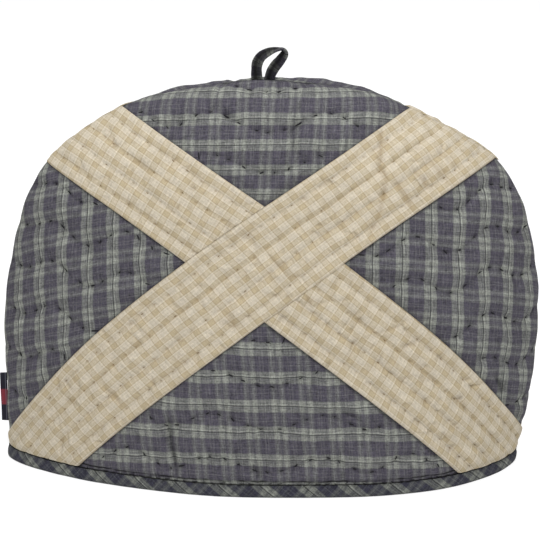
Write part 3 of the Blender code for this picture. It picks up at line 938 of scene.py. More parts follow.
def wall_grid():
    """Level rows below, then rows that bend up to the top arc of the seam."""
    side = np.linspace(-1.0, 1.0, COLUMNS + 1)
    across = 0.62 * np.sin(side * math.pi / 2) + 0.38 * side
    count = math.floor(row_number(SPLIT) * 3) * LEVELS_A_ROW // 3
    numbers = np.arange(-LEVELS_A_ROW // 3, count + 1) / LEVELS_A_ROW
    low = np.linspace(HEM_EDGE, float(row_height(numbers[0])), LOW_LEVELS + 1)[:-1]
    levels = [*low, *row_height(numbers)]
    rows = [(level_stations(across, q), np.full(COLUMNS + 1, q)) for q in levels]
    while (len(rows) - 1 + TOP_ROWS) % COARSE:
        rows.insert(1, ((rows[0][0] + rows[1][0]) / 2, (rows[0][1] + rows[1][1]) / 2))
    base_x, base_q = rows[-1]
    top_x = level_stations(across, SHOULDER)
    top_q = seam_height(top_x)
    share = (across + 1) / 2
    for k in range(1, TOP_ROWS + 1):
        r = 0.62 * math.sin(k / TOP_ROWS * math.pi / 2) + 0.38 * k / TOP_ROWS
        x, q = (1 - r) * base_x + r * top_x, (1 - r) * base_q + r * top_q
        end_left = seam_across(q[0], True) - x[0]
        end_right = seam_across(q[-1], False) - x[-1]
        rows.append((x + (1 - share) * end_left + share * end_right, q))
    return np.array([row[0] for row in rows]), np.array([row[1] for row in rows])


WALL_X, WALL_Q = wall_grid()
print("wall grid:", WALL_X.shape)

# %% [markdown]
# Each wall is sewn from four plaid triangles, and the strips cover the joins. The plaid of the
# side triangles is turned a quarter. Four pairs of sums give the stripes of each triangle: where
# they start, and how many repeats there are to a metre across and up.

# %% Plaid coordinates of the four triangles
def plaid_places(x, z, facing):
    """Repeats across and up, for the lower, upper, left and right triangle in turn."""
    run = -facing * cloth_run(x, z)
    u, v = cut_place(x, z, facing)
    run, v = run + 0.00035 * lumps(run, v, 0.013, 93), v + 0.00040 * lumps(v, run, 0.016, 94)
    low = (-0.554 + 56.08 * run + 4.235 * v, -0.2766 + 54.67 * v + 0.63 * u)
    top = (0.69 + 60.57 * run - 2.81 * v, -11.66 + 59.55 * v - 0.586 * u)
    left = (-10.54 + 58.56 * v - 2.82 * run + 25.5 * run**2, 9.578 + 55.32 * run)
    right = (-10.27 + 59.76 * v + 3.70 * run, -3.51 + 53.44 * run)
    shift = 0.0 if facing < 0 else 0.31
    return np.stack([np.stack(way, axis=-1) + shift for way in (low, top, left, right)])


def triangle_of(x, z, facing):
    """Which triangle a place is in: 0 lower, 1 upper, 2 left, 3 right."""
    rising, falling = beside_bars(*cut_place(x, z, facing))
    return np.where(rising > 0, np.where(falling > 0, 1, 2), np.where(falling > 0, 3, 0))


# %% Make the two walls
def make_panel(name, facing, node):
    points, painted_shade, z = outer_points(WALL_X, WALL_Q, facing)
    inner_x, inner_q = WALL_X[::COARSE, ::COARSE], WALL_Q[::COARSE, ::COARSE]
    inner = inner_points(inner_x, inner_q, facing)
    places = plaid_places(WALL_X, z, facing).reshape(4, -1, 2)
    inner_places = plaid_places(inner_x, inner_q, facing)[0].reshape(-1, 2)
    faces = grid_faces(*WALL_X.shape)
    middle_x, middle_z = [values.ravel()[faces].mean(axis=1) for values in (WALL_X, z)]
    uv = places[triangle_of(middle_x, middle_z, facing)[:, None], faces]
    plain = np.concatenate([places[0], inner_places])
    obj = add_sheet(name, points, inner, plain, PLAID, painted_shade, uv)
    up, across = points[1:] - points[:-1], points[:, 1:] - points[:, :-1]
    area = np.linalg.norm(np.cross(up[:, 1:], across[1:]), axis=-1).sum()
    print(name, "outer face %.4f square metres" % area)
    return dress(obj, node)


FRONT = make_panel("front_wall", -1, "front_panel")
BACK = make_panel("back_wall", 1, "back_panel")

# %% [markdown]
# A strip is a band of check cloth with both long edges turned under and sewn down. It carries
# four straight rows of stitches of its own, 14 mm apart, with soft channels between them. The
# rising bar lies on top, so the other one is made in two halves that stop at its edges.

# %% Rows of stitches on a strip
STRIP_ROW = 0.0138
STRIP_PITCH = 0.0108
STRIP_STAGGER = 0.41
STRIP_ROWS = np.array([-1.5, -0.5, 0.5, 1.5]) * STRIP_ROW


def strip_beat(nearest, row):
    return off_beat(nearest, row, 12, 5, 97) * 0.14


def along_stitch(s, row):
    """Signed way along a strip to the nearest stitch of its row."""
    place = s / STRIP_PITCH + STRIP_STAGGER * row
    nearest = np.round(place).astype(int)
    return (place - nearest - strip_beat(nearest, row)) * STRIP_PITCH


print("rows of stitches on a strip:", len(STRIP_ROWS))

# %% Height of a strip
# The same for a strip. Its grooves run on between the stitches, and its arms are not equally full.
STRIP_PUFF = 0.0015
STRIP_EDGE = 0.0013
STRIP_LOWEST = -0.0006
STRIP_DRIFT = 0.0007
STRIP_DIMPLE = 0.0010
STRIP_DIMPLE_SIZE = (0.0021, 0.0015)
GROOVE = 0.0007
GROOVE_WIDTH = 0.0011
STRIP_PUCKERS = 190
STRIP_PUCKER_WIDTH = 0.0013
STRIP_STITCH_SHADE = (0.0010, 0.0006)
STRIP_CREASE_SHADE = 450.0
STRIP_PUCKER_SHADE = 250.0
PUFFED = {"whole": 0.95, "upper": 0.75, "lower": 1.35}


def strip_height(s, t, part, facing, seed):
    """Height of the padding on a strip, and the shade painted at its stitches, grooves and creases.
    """
    drift = STRIP_DRIFT * waver(s, 0.019, seed + 4)
    t = t + drift * smooth((CROSS_HALF - np.abs(t)) / 0.004)
    number = t / STRIP_ROW + 0.5
    row = np.clip(np.round(number), -1, 2).astype(int)
    off_row = np.abs(number - row) * STRIP_ROW
    stitch = along_stitch(s, row)
    soft = wadding(s, t, seed)
    swell = np.minimum(np.sin(math.pi / 2 * np.clip(off_row / STRIP_ROW * 2, 0, 1)), 1.0) ** 0.8
    pull_along, pull_across = STRIP_DIMPLE_SIZE
    pull = np.exp(-np.abs(stitch / pull_along) - np.abs(off_row / pull_across))
    groove = np.clip(0.45 + 0.9 * lumps(s, t, 0.019, seed + 3), 0, 1)
    groove = groove * np.exp(-np.abs(off_row / GROOVE_WIDTH))
    fixed = creases(-facing * s, t, STRIP_CREASES[part])
    scattered = puckers(s, t, 0.20, (-0.028, 0.028), STRIP_PUCKERS, STRIP_PUCKER_WIDTH, seed + 5)
    height = STRIP_PUFF * PUFFED[part] * (0.35 + 0.65 * swell) * (1 + 0.35 * soft) + 0.0010 * soft
    relief = 1.3 * scattered - STRIP_DIMPLE * pull - GROOVE * groove
    height += 1.2 * fixed + PUFFED[part] * relief
    edge = np.sqrt(np.clip((CROSS_HALF - np.abs(t)) / STRIP_EDGE, 0.0, 1.0))
    # Painted shade at each stitch, along the grooves, and in the creases and puckers.
    painted_shade = 0.7 * spot(stitch, off_row, STRIP_STITCH_SHADE) + 0.22 * groove
    painted_shade = np.clip(painted_shade - STRIP_CREASE_SHADE * np.minimum(fixed, 0), 0, 1)
    painted_shade = np.clip(painted_shade - STRIP_PUCKER_SHADE * np.minimum(scattered, 0), 0, 1)
    return np.maximum(height, STRIP_LOWEST), edge, painted_shade


# %% Lines along a strip
STRIP_GAP = 0.00012
STRIP_END = 0.0010
STRIP_INSET = 0.0003
STRIP_SAMPLES = 2600


def strip_line(t, part, facing, steps):
    """Stations along a strip's line at t: places on the wall, and s along the cut."""
    along, across = bar_axes(part == "whole")
    half = CROSS_HALF + STRIP_GAP
    double = 2 * math.radians(CROSS_SLOPE)
    start, stop = -HEIGHT, HEIGHT
    if part == "upper":
        stop = (t * math.cos(double) - half) / math.sin(double)
    if part == "lower":
        start = (t * math.cos(double) + half) / math.sin(double)
    s = np.linspace(-HEIGHT, HEIGHT, STRIP_SAMPLES)
    place = CROSS_AT + s[:, None] * along + t * across
    x, z = wall_place(place[:, 0], place[:, 1], facing)
    on_wall = (depth(x, z) > STRIP_INSET) & (z > HEM_HEIGHT + STRIP_END)
    x, z, s = x[on_wall], z[on_wall], s[on_wall]
    run = way_along(wall_point(x, z))
    run = run - np.interp(0.0, s, run)
    at = np.linspace(*np.interp([max(start, s[0]), min(stop, s[-1])], s, run), steps + 1)
    return [np.interp(at, run, values) for values in (x, z, run)]


# %% A strip's two faces
STRIP_LOW = 0.00025
STRIP_THIN = 0.0002
TURNED_EDGE = 0.0007


def strip_press(seam, hem):
    """How far a strip keeps its thickness: it is pressed thin where it runs into a seam."""
    return (0.28 + 0.72 * seam**2) * (0.35 + 0.65 * hem)


def strip_face(part, facing, stations, steps, seed):
    """Points of a strip's two faces, with its pattern places and its painted shade."""
    lines = [strip_line(t, part, facing, steps) for t in stations]
    x, z, s = [np.array([line[k] for line in lines]) for k in range(3)]
    t = np.repeat(stations[:, None], steps + 1, axis=1)
    height, edge, painted_shade = strip_height(s, t, part, facing, seed)
    if facing < 0:
        height = height + creases(x, z, CREASES)
    crossing = abs(beside_bars(*cut_place(x, z, facing))[1]) < CROSS_HALF
    edge = np.where(crossing & (part == "whole"), np.maximum(edge, 0.85), edge)
    seam, hem = roll_in(x, z), hem_in(z)
    low = BED * seam * hem + STRIP_LOW
    thick = (CLOTH * 0.25 + (CLOTH * 0.75 + height) * edge) * strip_press(seam, hem)
    top = np.maximum(low + thick, low + STRIP_THIN)
    whole = np.ones_like(seam)
    closing = np.stack([whole, np.clip(seam * 1.4 - 0.2, 0, 1), whole], axis=-1)
    normal = wall_normal(x, z) * closing
    faces = [seat_points(wall_point(x, z) + normal * h[..., None], facing) for h in (low, top)]
    # Painted shade along the turned edges, lighter where the bars cross.
    rim = 0.6 * bump(CROSS_HALF - np.abs(t), TURNED_EDGE)
    painted_shade = np.maximum(painted_shade, rim * np.where(crossing, 0.4, 1.0))
    return faces[0], faces[1], s, t, painted_shade, np.stack([x, z], axis=-1)


# %% Make the strips
CHECKS = {
    "whole": ((87.4, 5.2, 38.8, -24.0, -0.18), (-0.52, 117.5, -4.5, 9.4, -0.39)),
    "upper": ((94.3, 2.4, 35.2, -88.2, -0.20), (-3.68, 119.5, -8.4, 55.5, -0.48)),
    "lower": ((92.4, 6.9, -45.5, 20.5, 0.39), (-1.45, 127.0, 9.5, -16.7, -0.34)),
}
STRIP_COLUMNS = 560
HALF_COLUMNS = 236
STRIP_ACROSS = 81
TURN_STEPS = 5
SIDES = {"front": -1, "back": 1}


def check_places(s, t, part, seed):
    """Repeats of the check along and across; the cloth is never laid quite straight."""
    drift = [0.0006 * lumps(s, t, 0.021, seed + 6 + k) + 0.00025 * lumps(t, s, 0.008, seed + 8 + k)
             for k in (0, 1)]
    s, t = s + drift[0], t + drift[1]
    return np.stack([a * s + b * t + c * s * s + d * s * t + start
                     for a, b, c, d, start in CHECKS[part]], axis=-1)


def strip_seed(side, part):
    return 40 + 7 * (len(CHECKS) * list(SIDES).index(side) + list(CHECKS).index(part))


def make_strip(side, part):
    seed = strip_seed(side, part)
    steps = STRIP_COLUMNS if part == "whole" else HALF_COLUMNS
    inner = np.linspace(STRIP_EDGE - CROSS_HALF, CROSS_HALF - STRIP_EDGE, STRIP_ACROSS)
    turn = np.cos(np.linspace(0, math.pi / 2, TURN_STEPS)[:-1])
    turn = CROSS_HALF - STRIP_EDGE * (1 - turn)
    stations = np.concatenate([-turn, inner, turn[::-1]])
    low, high, s, t, painted_shade, _ = strip_face(part, SIDES[side], stations, steps, seed)
    low = low[::COARSE, ::COARSE]
    place = check_places(s, t, part, seed)
    places = np.concatenate([p.reshape(-1, 2) for p in (place, place[::COARSE, ::COARSE])])
    name = f"{side}_strip_{part}"
    obj = add_sheet(name, high, low, places, CHECK, painted_shade)
    print(name, "is %.0f mm long" % (way_along(high[len(high) // 2])[-1] * 1000))
    return dress(obj, f"{side}_bar_{part}")


STRIPS = {(side, part): make_strip(side, part) for side in SIDES for part in CHECKS}

# %% [markdown]
# The binding, the loop and the tab are tubes: rings of points, joined one to the next. As the
# cloth comes round to the first point of a ring again, its pattern place has gone on, so each
# ring's places are given once, with the step that closes them.

# %% Tubes of rings
def tube_faces(places, past, joins):
    """Faces between the rings joined, and a place for each of their corners."""
    count = len(places[0])
    here = np.arange(count)
    after = np.roll(here, -1)
    ends = [np.vstack([ring[1:], ring[:1] + past]) for ring in places]
    faces, uv = [], []
    for a, b in joins:
        a_first, b_first = a * count, b * count
        faces += np.stack([a_first + here, a_first + after, b_first + after, b_first + here],
                          axis=-1).tolist()
        uv.append(np.stack([places[a], ends[a], ends[b], places[b]], axis=1).reshape(-1, 2))
    return faces, np.concatenate(uv)


def tube_ends(count, rings):
    """The two faces that close a tube."""
    return [list(range(count))[::-1], list(range((rings - 1) * count, rings * count))]


# %% [markdown]
# The binding is one bias strip folded round the raw lower edges of both walls. Its section is a
# thin U, swept round the hem. A real binding is a little full and puckers where it is sewn down,
# so its outer side bulges, and its upper edge dips at every stitch.

# %% The hem's outline
HEM_STITCH = 0.0062
HEM_POINTS = 240


def offset_loop(points, out):
    """A closed line of (x, y) points moved sideways by out, away from what it encloses."""
    sides = []
    for run in (points - np.roll(points, 1, axis=0), np.roll(points, -1, axis=0) - points):
        unit = run / np.linalg.norm(run, axis=1, keepdims=True)
        sides.append(np.stack([unit[:, 1], -unit[:, 0]], axis=1))
    middle = sides[0] + sides[1]
    middle /= np.linalg.norm(middle, axis=1, keepdims=True)
    reach = np.asarray(out).reshape(-1, 1) / (middle * sides[0]).sum(axis=1, keepdims=True)
    return points + middle * reach


def hem_loop(z, inner):
    """The walls' closed outline at height z, seen from above."""
    side = np.linspace(-1.0, 1.0, HEM_POINTS + 1)
    across = 0.80 * np.sin(side * math.pi / 2) + 0.20 * side
    x = level_stations(across, z)
    p = wall_point(x, np.full_like(x, z))
    if inner:
        p *= [1 - WALL / HALF_WIDTH, 1 - WALL / HALF_DEPTH, 1.0]
    front = seat_points(p, -1)[:, :2]
    front[[0, -1], 1] = 0.0
    return np.concatenate([front, front[-2:0:-1] * [1, -1]])


HEM = {where: (hem_loop(HEM_EDGE, where == "in"), hem_loop(HEM_HEIGHT, where == "in"))
       for where in ("out", "in")}
HEM_ROUND = way_along(np.vstack([HEM["out"][0], HEM["out"][0][:1]]))
HEM_RUN = HEM_ROUND[:-1]
print("binding goes round %.0f mm" % (HEM_ROUND[-1] * 1000))

# %% The binding's section
BINDING_FOOT = 0.0004
BINDING_SIDE = HEM_HEIGHT - BINDING_FOOT
SECTION = [("out", GAP + CLOTH * 0.2, BINDING_FOOT)]
SECTION += [("out", None, BINDING_FOOT + BINDING_SIDE * h) for h in np.arange(11) / 10]
SECTION += [("out", GAP, HEM_HEIGHT - 0.0003), ("out", GAP, CLOTH), ("in", -GAP, CLOTH)]
SECTION += [("in", -GAP, HEM_HEIGHT), ("in", -GAP - CLOTH, HEM_HEIGHT)]
SECTION += [("in", -GAP - CLOTH, 0.0008), ("in", -GAP - CLOTH * 0.3, 0.0)]
print("the binding's section has", len(SECTION), "points")


def soft_side(z, stitch):
    """The outer side: how far out it bulges, how high it comes, and its painted shade."""
    h = (z - BINDING_FOOT) / BINDING_SIDE
    bulge = (1 - (2 * h - 0.95) ** 4 * 0.9) * (1 - 0.25 * h)
    crinkle = wadding(HEM_RUN, np.full(len(HEM_RUN), z), 63)
    near_top = math.exp(-(((1 - h) / 0.22) ** 2))
    out = GAP + CLOTH * (0.35 + 1.05 * bulge) + 0.00045 * crinkle
    out = np.maximum(out - 0.00028 * (stitch + 1) * near_top, GAP + 0.0003)
    height = z + (0.0003 * waver(HEM_RUN, 0.011, 64) - 0.0002 * stitch) * h
    # Painted shade at the stitches near the top, and a painted shadow along the foot by the floor.
    painted_shade = 0.25 * near_top * (stitch + 1) + 0.9 * math.exp(-((h / 0.12) ** 2))
    return out, height, np.clip(painted_shade, 0, 1)


# %% Make the binding
BIAS_REPEATS = 55.0
HEM_SLANT = math.radians(40.0)


def on_bias(run, way):
    """Pattern places of a cloth that is cut at a slant."""
    along, up = math.cos(HEM_SLANT), math.sin(HEM_SLANT)
    return np.column_stack([(run * along - way * up) * BIAS_REPEATS,
                            (run * up + way * along) * BIAS_REPEATS])


def make_binding():
    count = len(HEM_RUN)
    stitch = np.cos(2 * math.pi * HEM_RUN / HEM_STITCH + 3 * waver(HEM_RUN, 0.03, 61))
    points, places, painted_shades = [], [], []
    for where, out, z in SECTION:
        low, high = HEM[where]
        ring = low + (high - low) * np.clip((z - HEM_EDGE) / (HEM_HEIGHT - HEM_EDGE), 0.0, 1.0)
        # The other rings of the section are painted darker, as shade.
        height, painted_shade = np.full(count, z), np.full(count, 0.6)
        if out is None:
            out, height, painted_shade = soft_side(z, stitch)
        points.append(np.column_stack([offset_loop(ring, out), height]))
        places.append(on_bias(HEM_RUN, z if where == "out" else 2 * HEM_HEIGHT - z))
        painted_shades.append(painted_shade)
    past = on_bias(HEM_ROUND[-1:], 0.0)
    joins = [(a, (a + 1) % len(SECTION)) for a in range(len(SECTION))]
    faces, uv = tube_faces(places, past, joins)
    obj = add_piece("bias_binding", np.concatenate(points), faces, uv, BIAS, np.concatenate(painted_shades))
    return dress(obj, "hem_binding")


BINDING = make_binding()

# %% [markdown]
# The loop is a narrow tube of dark plaid, pressed flat and folded over. It turns half round on
# its way over the top, so one leg shows its face and the other its edge.

# %% The loop's route and section
LOOP_ROUTE = [
    (-0.0084, 0.0), (-0.0086, 0.0060), (-0.0080, 0.0108), (-0.0056, 0.0148), (-0.0014, 0.0176),
    (0.0034, 0.0193), (0.0078, 0.0196), (0.0093, 0.0170), (0.0066, 0.0126), (0.0032, 0.0084),
    (0.0008, 0.0042), (-0.0004, 0.0),
]
LOOP_SEAT = 0.0003
LOOP_WIDTH = 0.0071
LOOP_THICK = 0.0024
LOOP_STEPS = 150
LOOP_POINTS = 32
LOOP_JOIN = 0.0006
JOIN_WIDTH = 0.0014
JOIN_DEEP = 0.0008


def loop_route():
    """Even places over the loop's route, the way each one heads, and the way gone."""
    line = smooth_line(LOOP_ROUTE)
    run = way_along(line)
    at = np.linspace(0, run[-1], LOOP_STEPS + 1)
    route = points_along(at, run, line)
    slope = np.gradient(route, axis=0)
    slope[[0, -1]] = [[0, 1], [0, -1]]
    return route, slope / np.linalg.norm(slope, axis=1, keepdims=True), at


def loop_section():
    """The tube's section: flat and slightly puffed, with its folded edges joined at one side."""
    turn = np.linspace(0, 2 * math.pi, LOOP_POINTS + 1)[:-1]
    wide = np.sign(np.cos(turn)) * np.abs(np.cos(turn)) ** 0.75 * LOOP_WIDTH / 2
    thick = np.sign(np.sin(turn)) * np.abs(np.sin(turn)) ** 0.55 * LOOP_THICK / 2
    joined = bump(wide - LOOP_JOIN, JOIN_WIDTH) * JOIN_DEEP
    return wide, thick * (1 - joined / (LOOP_THICK / 2))


# %% Make the loop
LOOP_REPEATS = 90
JOIN_SHADE = 0.0016
PALE_EDGE_REACH = 0.0007


def make_loop():
    route, slope, at = loop_route()
    wide, thick = loop_section()
    around = np.concatenate([[0], np.cumsum(np.hypot(np.diff(wide), np.diff(thick)))])
    # The loop is painted darker as shade along its joined side, and painted lighter along its outer
    # edges.
    edge = bump(np.abs(wide) - LOOP_WIDTH / 2, PALE_EDGE_REACH)
    painted_shade = bump(wide - LOOP_JOIN, JOIN_SHADE) - 0.9 * edge
    points, places = [], []
    for k, (place, along) in enumerate(zip(route, slope)):
        turn = math.pi * float(smooth(k / LOOP_STEPS))
        level, through = np.array([-along[1], 0, along[0]]), np.array([0.0, 1.0, 0.0])
        across = level * math.cos(turn) + through * math.sin(turn)
        face = -level * math.sin(turn) + through * math.cos(turn)
        pucker = 1 + 0.06 * waver(at[k : k + 1], 0.004, 71)[0]
        centre = np.array([MIDDLE + place[0], 0.0, HEIGHT + LOOP_SEAT + place[1]])
        points.append(centre + np.outer(wide * pucker, across) + np.outer(thick, face))
        places.append(np.column_stack([around, np.full(LOOP_POINTS, at[k])]) * LOOP_REPEATS)
    past = np.array([around[-1] + around[1], 0.0]) * LOOP_REPEATS
    faces, uv = tube_faces(places, past, [(k, k + 1) for k in range(LOOP_STEPS)])
    faces += tube_ends(LOOP_POINTS, LOOP_STEPS + 1)
    uv = np.concatenate([uv, np.zeros((2 * LOOP_POINTS, 2))])
    painted_shades = np.tile(painted_shade, LOOP_STEPS + 1)
    obj = add_piece("top_loop", np.concatenate(points), faces, uv, DARK_STRIP, painted_shades)
    print("loop cloth is %.0f mm long" % (at[-1] * 1000))
    return dress(obj, "hanging_loop")


LOOP = make_loop()

# %% [markdown]
# The tab is a short piece of woven tape, folded in half and caught in the left seam. It is left
# bare: only its own plain band of red crosses it.

# %% The tab
TAB_LOW = 0.0270
TAB_HIGH = 0.0620
TAB_OUT = 0.0050
TAB_THICK = 0.0012
TAB_INSIDE = 0.0004
TAB_SWAY = 0.0007
TAB_STEPS = 44


def tab_section():
    """Round the folded tape, seen from above: out of the seam, round the fold and back."""
    half = TAB_THICK / 2
    bend = np.linspace(math.pi / 2, -math.pi / 2, 9)
    outer = [(TAB_OUT - half + half * math.cos(a), half * math.sin(a)) for a in bend]
    outer = [(GAP, half)] + outer + [(GAP, -half)]
    return outer + [(out - TAB_INSIDE * (out > GAP), y * 0.25) for out, y in outer[::-1]]


def make_tab():
    section = tab_section()
    count = len(section)
    points, places = [], []
    for z in np.linspace(TAB_LOW, TAB_HIGH, TAB_STEPS + 1):
        share = (z - TAB_LOW) / (TAB_HIGH - TAB_LOW)
        sway = TAB_SWAY * math.sin(5.0 * share + 0.6)
        edge = MIDDLE + float(seam_across(z, True))
        points += [(edge - out, y + sway * out / TAB_OUT, z) for out, y in section]
        places.append(np.array([(share, 0.2 * k / count) for k in range(count)]))
    faces, uv = tube_faces(places, 0.0, [(k, k + 1) for k in range(TAB_STEPS)])
    ends = tube_ends(count, TAB_STEPS + 1)
    uv = np.concatenate([uv, np.concatenate(places)[corners_of(ends)]])
    obj = add_piece("folded_tab", points, faces + ends, uv, TAPE)
    return dress(obj, "side_tab")


TAB = make_tab()

# %% [markdown]
# Each stitch is a short arch of thread that rises out of the cloth and dives in again. There are
# nearly eight hundred, so one arch is built with Geometry Nodes and put on a list of points that
# carry the way the row runs and the way the cloth faces. It is then turned into plain mesh.

# %% A tree that sews
def tree_node(tree, kind, settings=None, **wires):
    """Adds a node: its settings, then a value or a link for each socket, by name or by _number."""
    made = tree.nodes.new(kind)
    for name, value in (settings or {}).items():
        setattr(made, name, value)
    for name, value in wires.items():
        socket = made.inputs[int(name[1:])] if name[1:].isdigit() else made.inputs[name]
        if isinstance(value, bpy.types.NodeSocket):
            tree.links.new(value, socket)
        else:
            socket.default_value = value
    return made


def sewing_inputs(sockets):
    sockets.new_socket("Points", in_out="INPUT", socket_type="NodeSocketGeometry")
    for name, value in (("Length", 0.0034), ("Thickness", 0.0005), ("Dive", 0.0006)):
        socket = sockets.new_socket(name, in_out="INPUT", socket_type="NodeSocketFloat")
        socket.default_value = value
    sockets.new_socket("Seed", in_out="INPUT", socket_type="NodeSocketInt")
    sockets.new_socket("Thread", in_out="INPUT", socket_type="NodeSocketMaterial")
    sockets.new_socket("Stitches", in_out="OUTPUT", socket_type="NodeSocketGeometry")


def sewing_tree():
    tree = bpy.data.node_groups.new("hand stitches", "GeometryNodeTree")
    sewing_inputs(tree.interface)

    def node(kind, settings=None, **wires):
        return tree_node(tree, kind, settings, **wires)

    def times(a, b):
        return node("ShaderNodeMath", {"operation": "MULTIPLY"}, _0=a, _1=b).outputs[0]

    given = node("NodeGroupInput").outputs
    half = times(given["Length"], 0.5)
    back = times(half, -1.0)
    down = times(given["Dive"], -1.0)
    start = node("ShaderNodeCombineXYZ", X=back, Z=down).outputs[0]
    end = node("ShaderNodeCombineXYZ", X=half, Z=down).outputs[0]
    top = node("ShaderNodeCombineXYZ", Z=given["Dive"]).outputs[0]
    arch = node("GeometryNodeCurveQuadraticBezier", _0=6, Start=start, Middle=top, End=end)
    width = times(given["Thickness"], 0.5)
    ring = node("GeometryNodeCurvePrimitiveCircle", Resolution=5, Radius=width)
    tube = node("GeometryNodeCurveToMesh", _0=arch.outputs[0], _1=ring.outputs[0])
    tube.inputs["Fill Caps"].default_value = True
    ways = [node("GeometryNodeInputNamedAttribute", {"data_type": "FLOAT_VECTOR"}, Name=name)
            for name in ("along", "out")]
    first = node("FunctionNodeAlignRotationToVector", {"axis": "X"}, Vector=ways[0].outputs[0])
    turned = node("FunctionNodeAlignRotationToVector", {"axis": "Z", "pivot_axis": "X"},
                  Rotation=first.outputs[0], Vector=ways[1].outputs[0])
    size = node("FunctionNodeRandomValue", {"data_type": "FLOAT"}, Seed=given["Seed"],
                _2=0.70, _3=1.30)
    sewn = node("GeometryNodeInstanceOnPoints", Points=given["Points"], Instance=tube.outputs[0],
                Rotation=turned.outputs[0], Scale=size.outputs[1])
    real = node("GeometryNodeRealizeInstances", _0=sewn.outputs[0])
    done = node("GeometryNodeSetMaterial", _0=real.outputs[0], Material=given["Thread"])
    node("NodeGroupOutput", _0=done.outputs[0])
    print("the sewing tree has", len(tree.nodes), "nodes")
    return tree


SEWING = sewing_tree()


# %% Sew a list of stitches
def sewn_mesh(name, places, along, out, values):
    """Puts the tree on a carrier with one point a stitch, and keeps its mesh."""
    spots = bpy.data.meshes.new(name + "_spots")
    spots.from_pydata(np.asarray(places).tolist(), [], [])
    for label, ways in (("along", along), ("out", out)):
        layer = spots.attributes.new(label, "FLOAT_VECTOR", "POINT")
        layer.data.foreach_set("vector", np.asarray(ways, dtype=np.float32).ravel())
    carrier = put_in_scene(name + "_spots", spots)
    modifier = carrier.modifiers.new("sewing", "NODES")
    modifier.node_group = SEWING
    for item in SEWING.interface.items_tree:
        if item.in_out == "INPUT" and item.name in values:
            modifier[item.identifier] = values[item.name]
    ready = carrier.evaluated_get(bpy.context.evaluated_depsgraph_get())
    mesh = bpy.data.meshes.new_from_object(ready)
    for label in ("along", "out"):
        if label in mesh.attributes:
            mesh.attributes.remove(mesh.attributes[label])
    bpy.data.objects.remove(carrier)
    mesh.shade_smooth()
    mesh.name = name
    return mesh


def sew(name, rows, slot, **values):
    """A piece of stitches; each row is its places, the ways it runs and the ways it faces."""
    places, along, out = [np.concatenate(part) for part in zip(*rows)]
    mesh = sewn_mesh(name, places, along, out, values)
    obj = put_in_scene(name, mesh)
    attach(obj, "root")
    print("%s: %d stitches, %d faces" % (name, len(places), len(mesh.polygons)))
    return obj


def uneven(along, out, seed, turn):
    """Turns each stitch a little out of its row."""
    along = along / np.linalg.norm(along, axis=-1, keepdims=True)
    side = np.cross(out, along)
    angle = np.random.default_rng(seed).normal(0, turn, (len(along), 1))
    return along * np.cos(angle) + side * np.sin(angle)


# %% [markdown]
# The plaid's rows use dark thread. The same rule that made the dimples says where each stitch is,
# so every stitch sits in its own dimple.

# %% Sew the plaid's rows
ROW_SAMPLES = 1501
LEFT_OUT = 8
SEAM_CLEAR = 0.004
STRIP_CLEAR = 0.0022
LOOK_AHEAD = 0.0012
THREAD_UP = 0.0002


def wall_row(row, facing, seed):
    """One row of stitches on a wall, or nothing where the row is too short."""
    q = float(row_height(np.array(float(row))))
    x = np.linspace(seam_across(q, True), seam_across(q, False), ROW_SAMPLES)[LEFT_OUT:-LEFT_OUT]
    level = np.full_like(x, q)
    z = level + wave(x, level, facing)
    x, z = (a[depth(x, z) > SEAM_CLEAR] for a in (x, z))
    if len(x) < 50:
        return None
    run = cloth_run(x, z)
    first, last = math.ceil(run[0] / STITCH_PITCH) + 1, int(run[-1] / STITCH_PITCH)
    near = np.arange(first - 2, last + 4)
    start = BACK_STAGGER if facing > 0 else 0.0
    spots = (near + wall_beat(near, row) - ROW_STAGGER * row - start) * STITCH_PITCH
    spots = spots[(spots > run[0]) & (spots < run[-1])]
    at_x = np.interp(spots, run, x)
    at_q = np.full_like(at_x, q)
    points, _, at_z = outer_points(at_x, at_q, facing)
    ahead = outer_points(at_x + LOOK_AHEAD, at_q, facing)[0]
    clear = beside_cross(*cut_place(at_x, at_z, facing)) > STRIP_CLEAR
    normal = wall_normal(at_x, at_z) * [1, -facing, 1]
    way = uneven(ahead - points, normal, seed + row, 0.55)
    return (points + normal * THREAD_UP)[clear], way[clear], normal[clear]


def sew_rows(name, facing, seed):
    rows = [wall_row(row, facing, seed) for row in range(int(row_number(HEIGHT)) + 1)]
    return sew(name, [row for row in rows if row], "slate_plaid", Thread=DARK_THREAD,
               Length=0.0050, Thickness=0.00090, Dive=0.0006, Seed=seed)


FRONT_ROWS = sew_rows("front_row_stitches", -1, 101)
BACK_ROWS = sew_rows("back_row_stitches", 1, 201)


# %% Sew the strips' rows
END_CLEAR = 0.004
STEP_AHEAD = 0.001
STRIP_THREAD_UP = 0.0001


def strip_row(k, facing, seed, high, s, place):
    """One row of stitches on a strip; about a third are too sunk to show and are left out."""
    row = k - 1
    near = np.arange(-60, 60)
    spots = (near + strip_beat(near, row) - STRIP_STAGGER * row) * STRIP_PITCH
    shown = off_beat(near, row, 13, 11, 59) > -0.3
    spots = spots[shown & (spots > s[0] + END_CLEAR) & (spots < s[-1] - END_CLEAR)]
    points, ahead = [points_along(at, s, high) for at in (spots, spots + STEP_AHEAD)]
    x, z = (np.interp(spots, s, place[:, c]) for c in range(2))
    normal = wall_normal(x, z) * [1, -facing, 1]
    way = uneven(ahead - points, normal, seed + 10 * k, 0.2)
    return points + normal * STRIP_THREAD_UP, way, normal


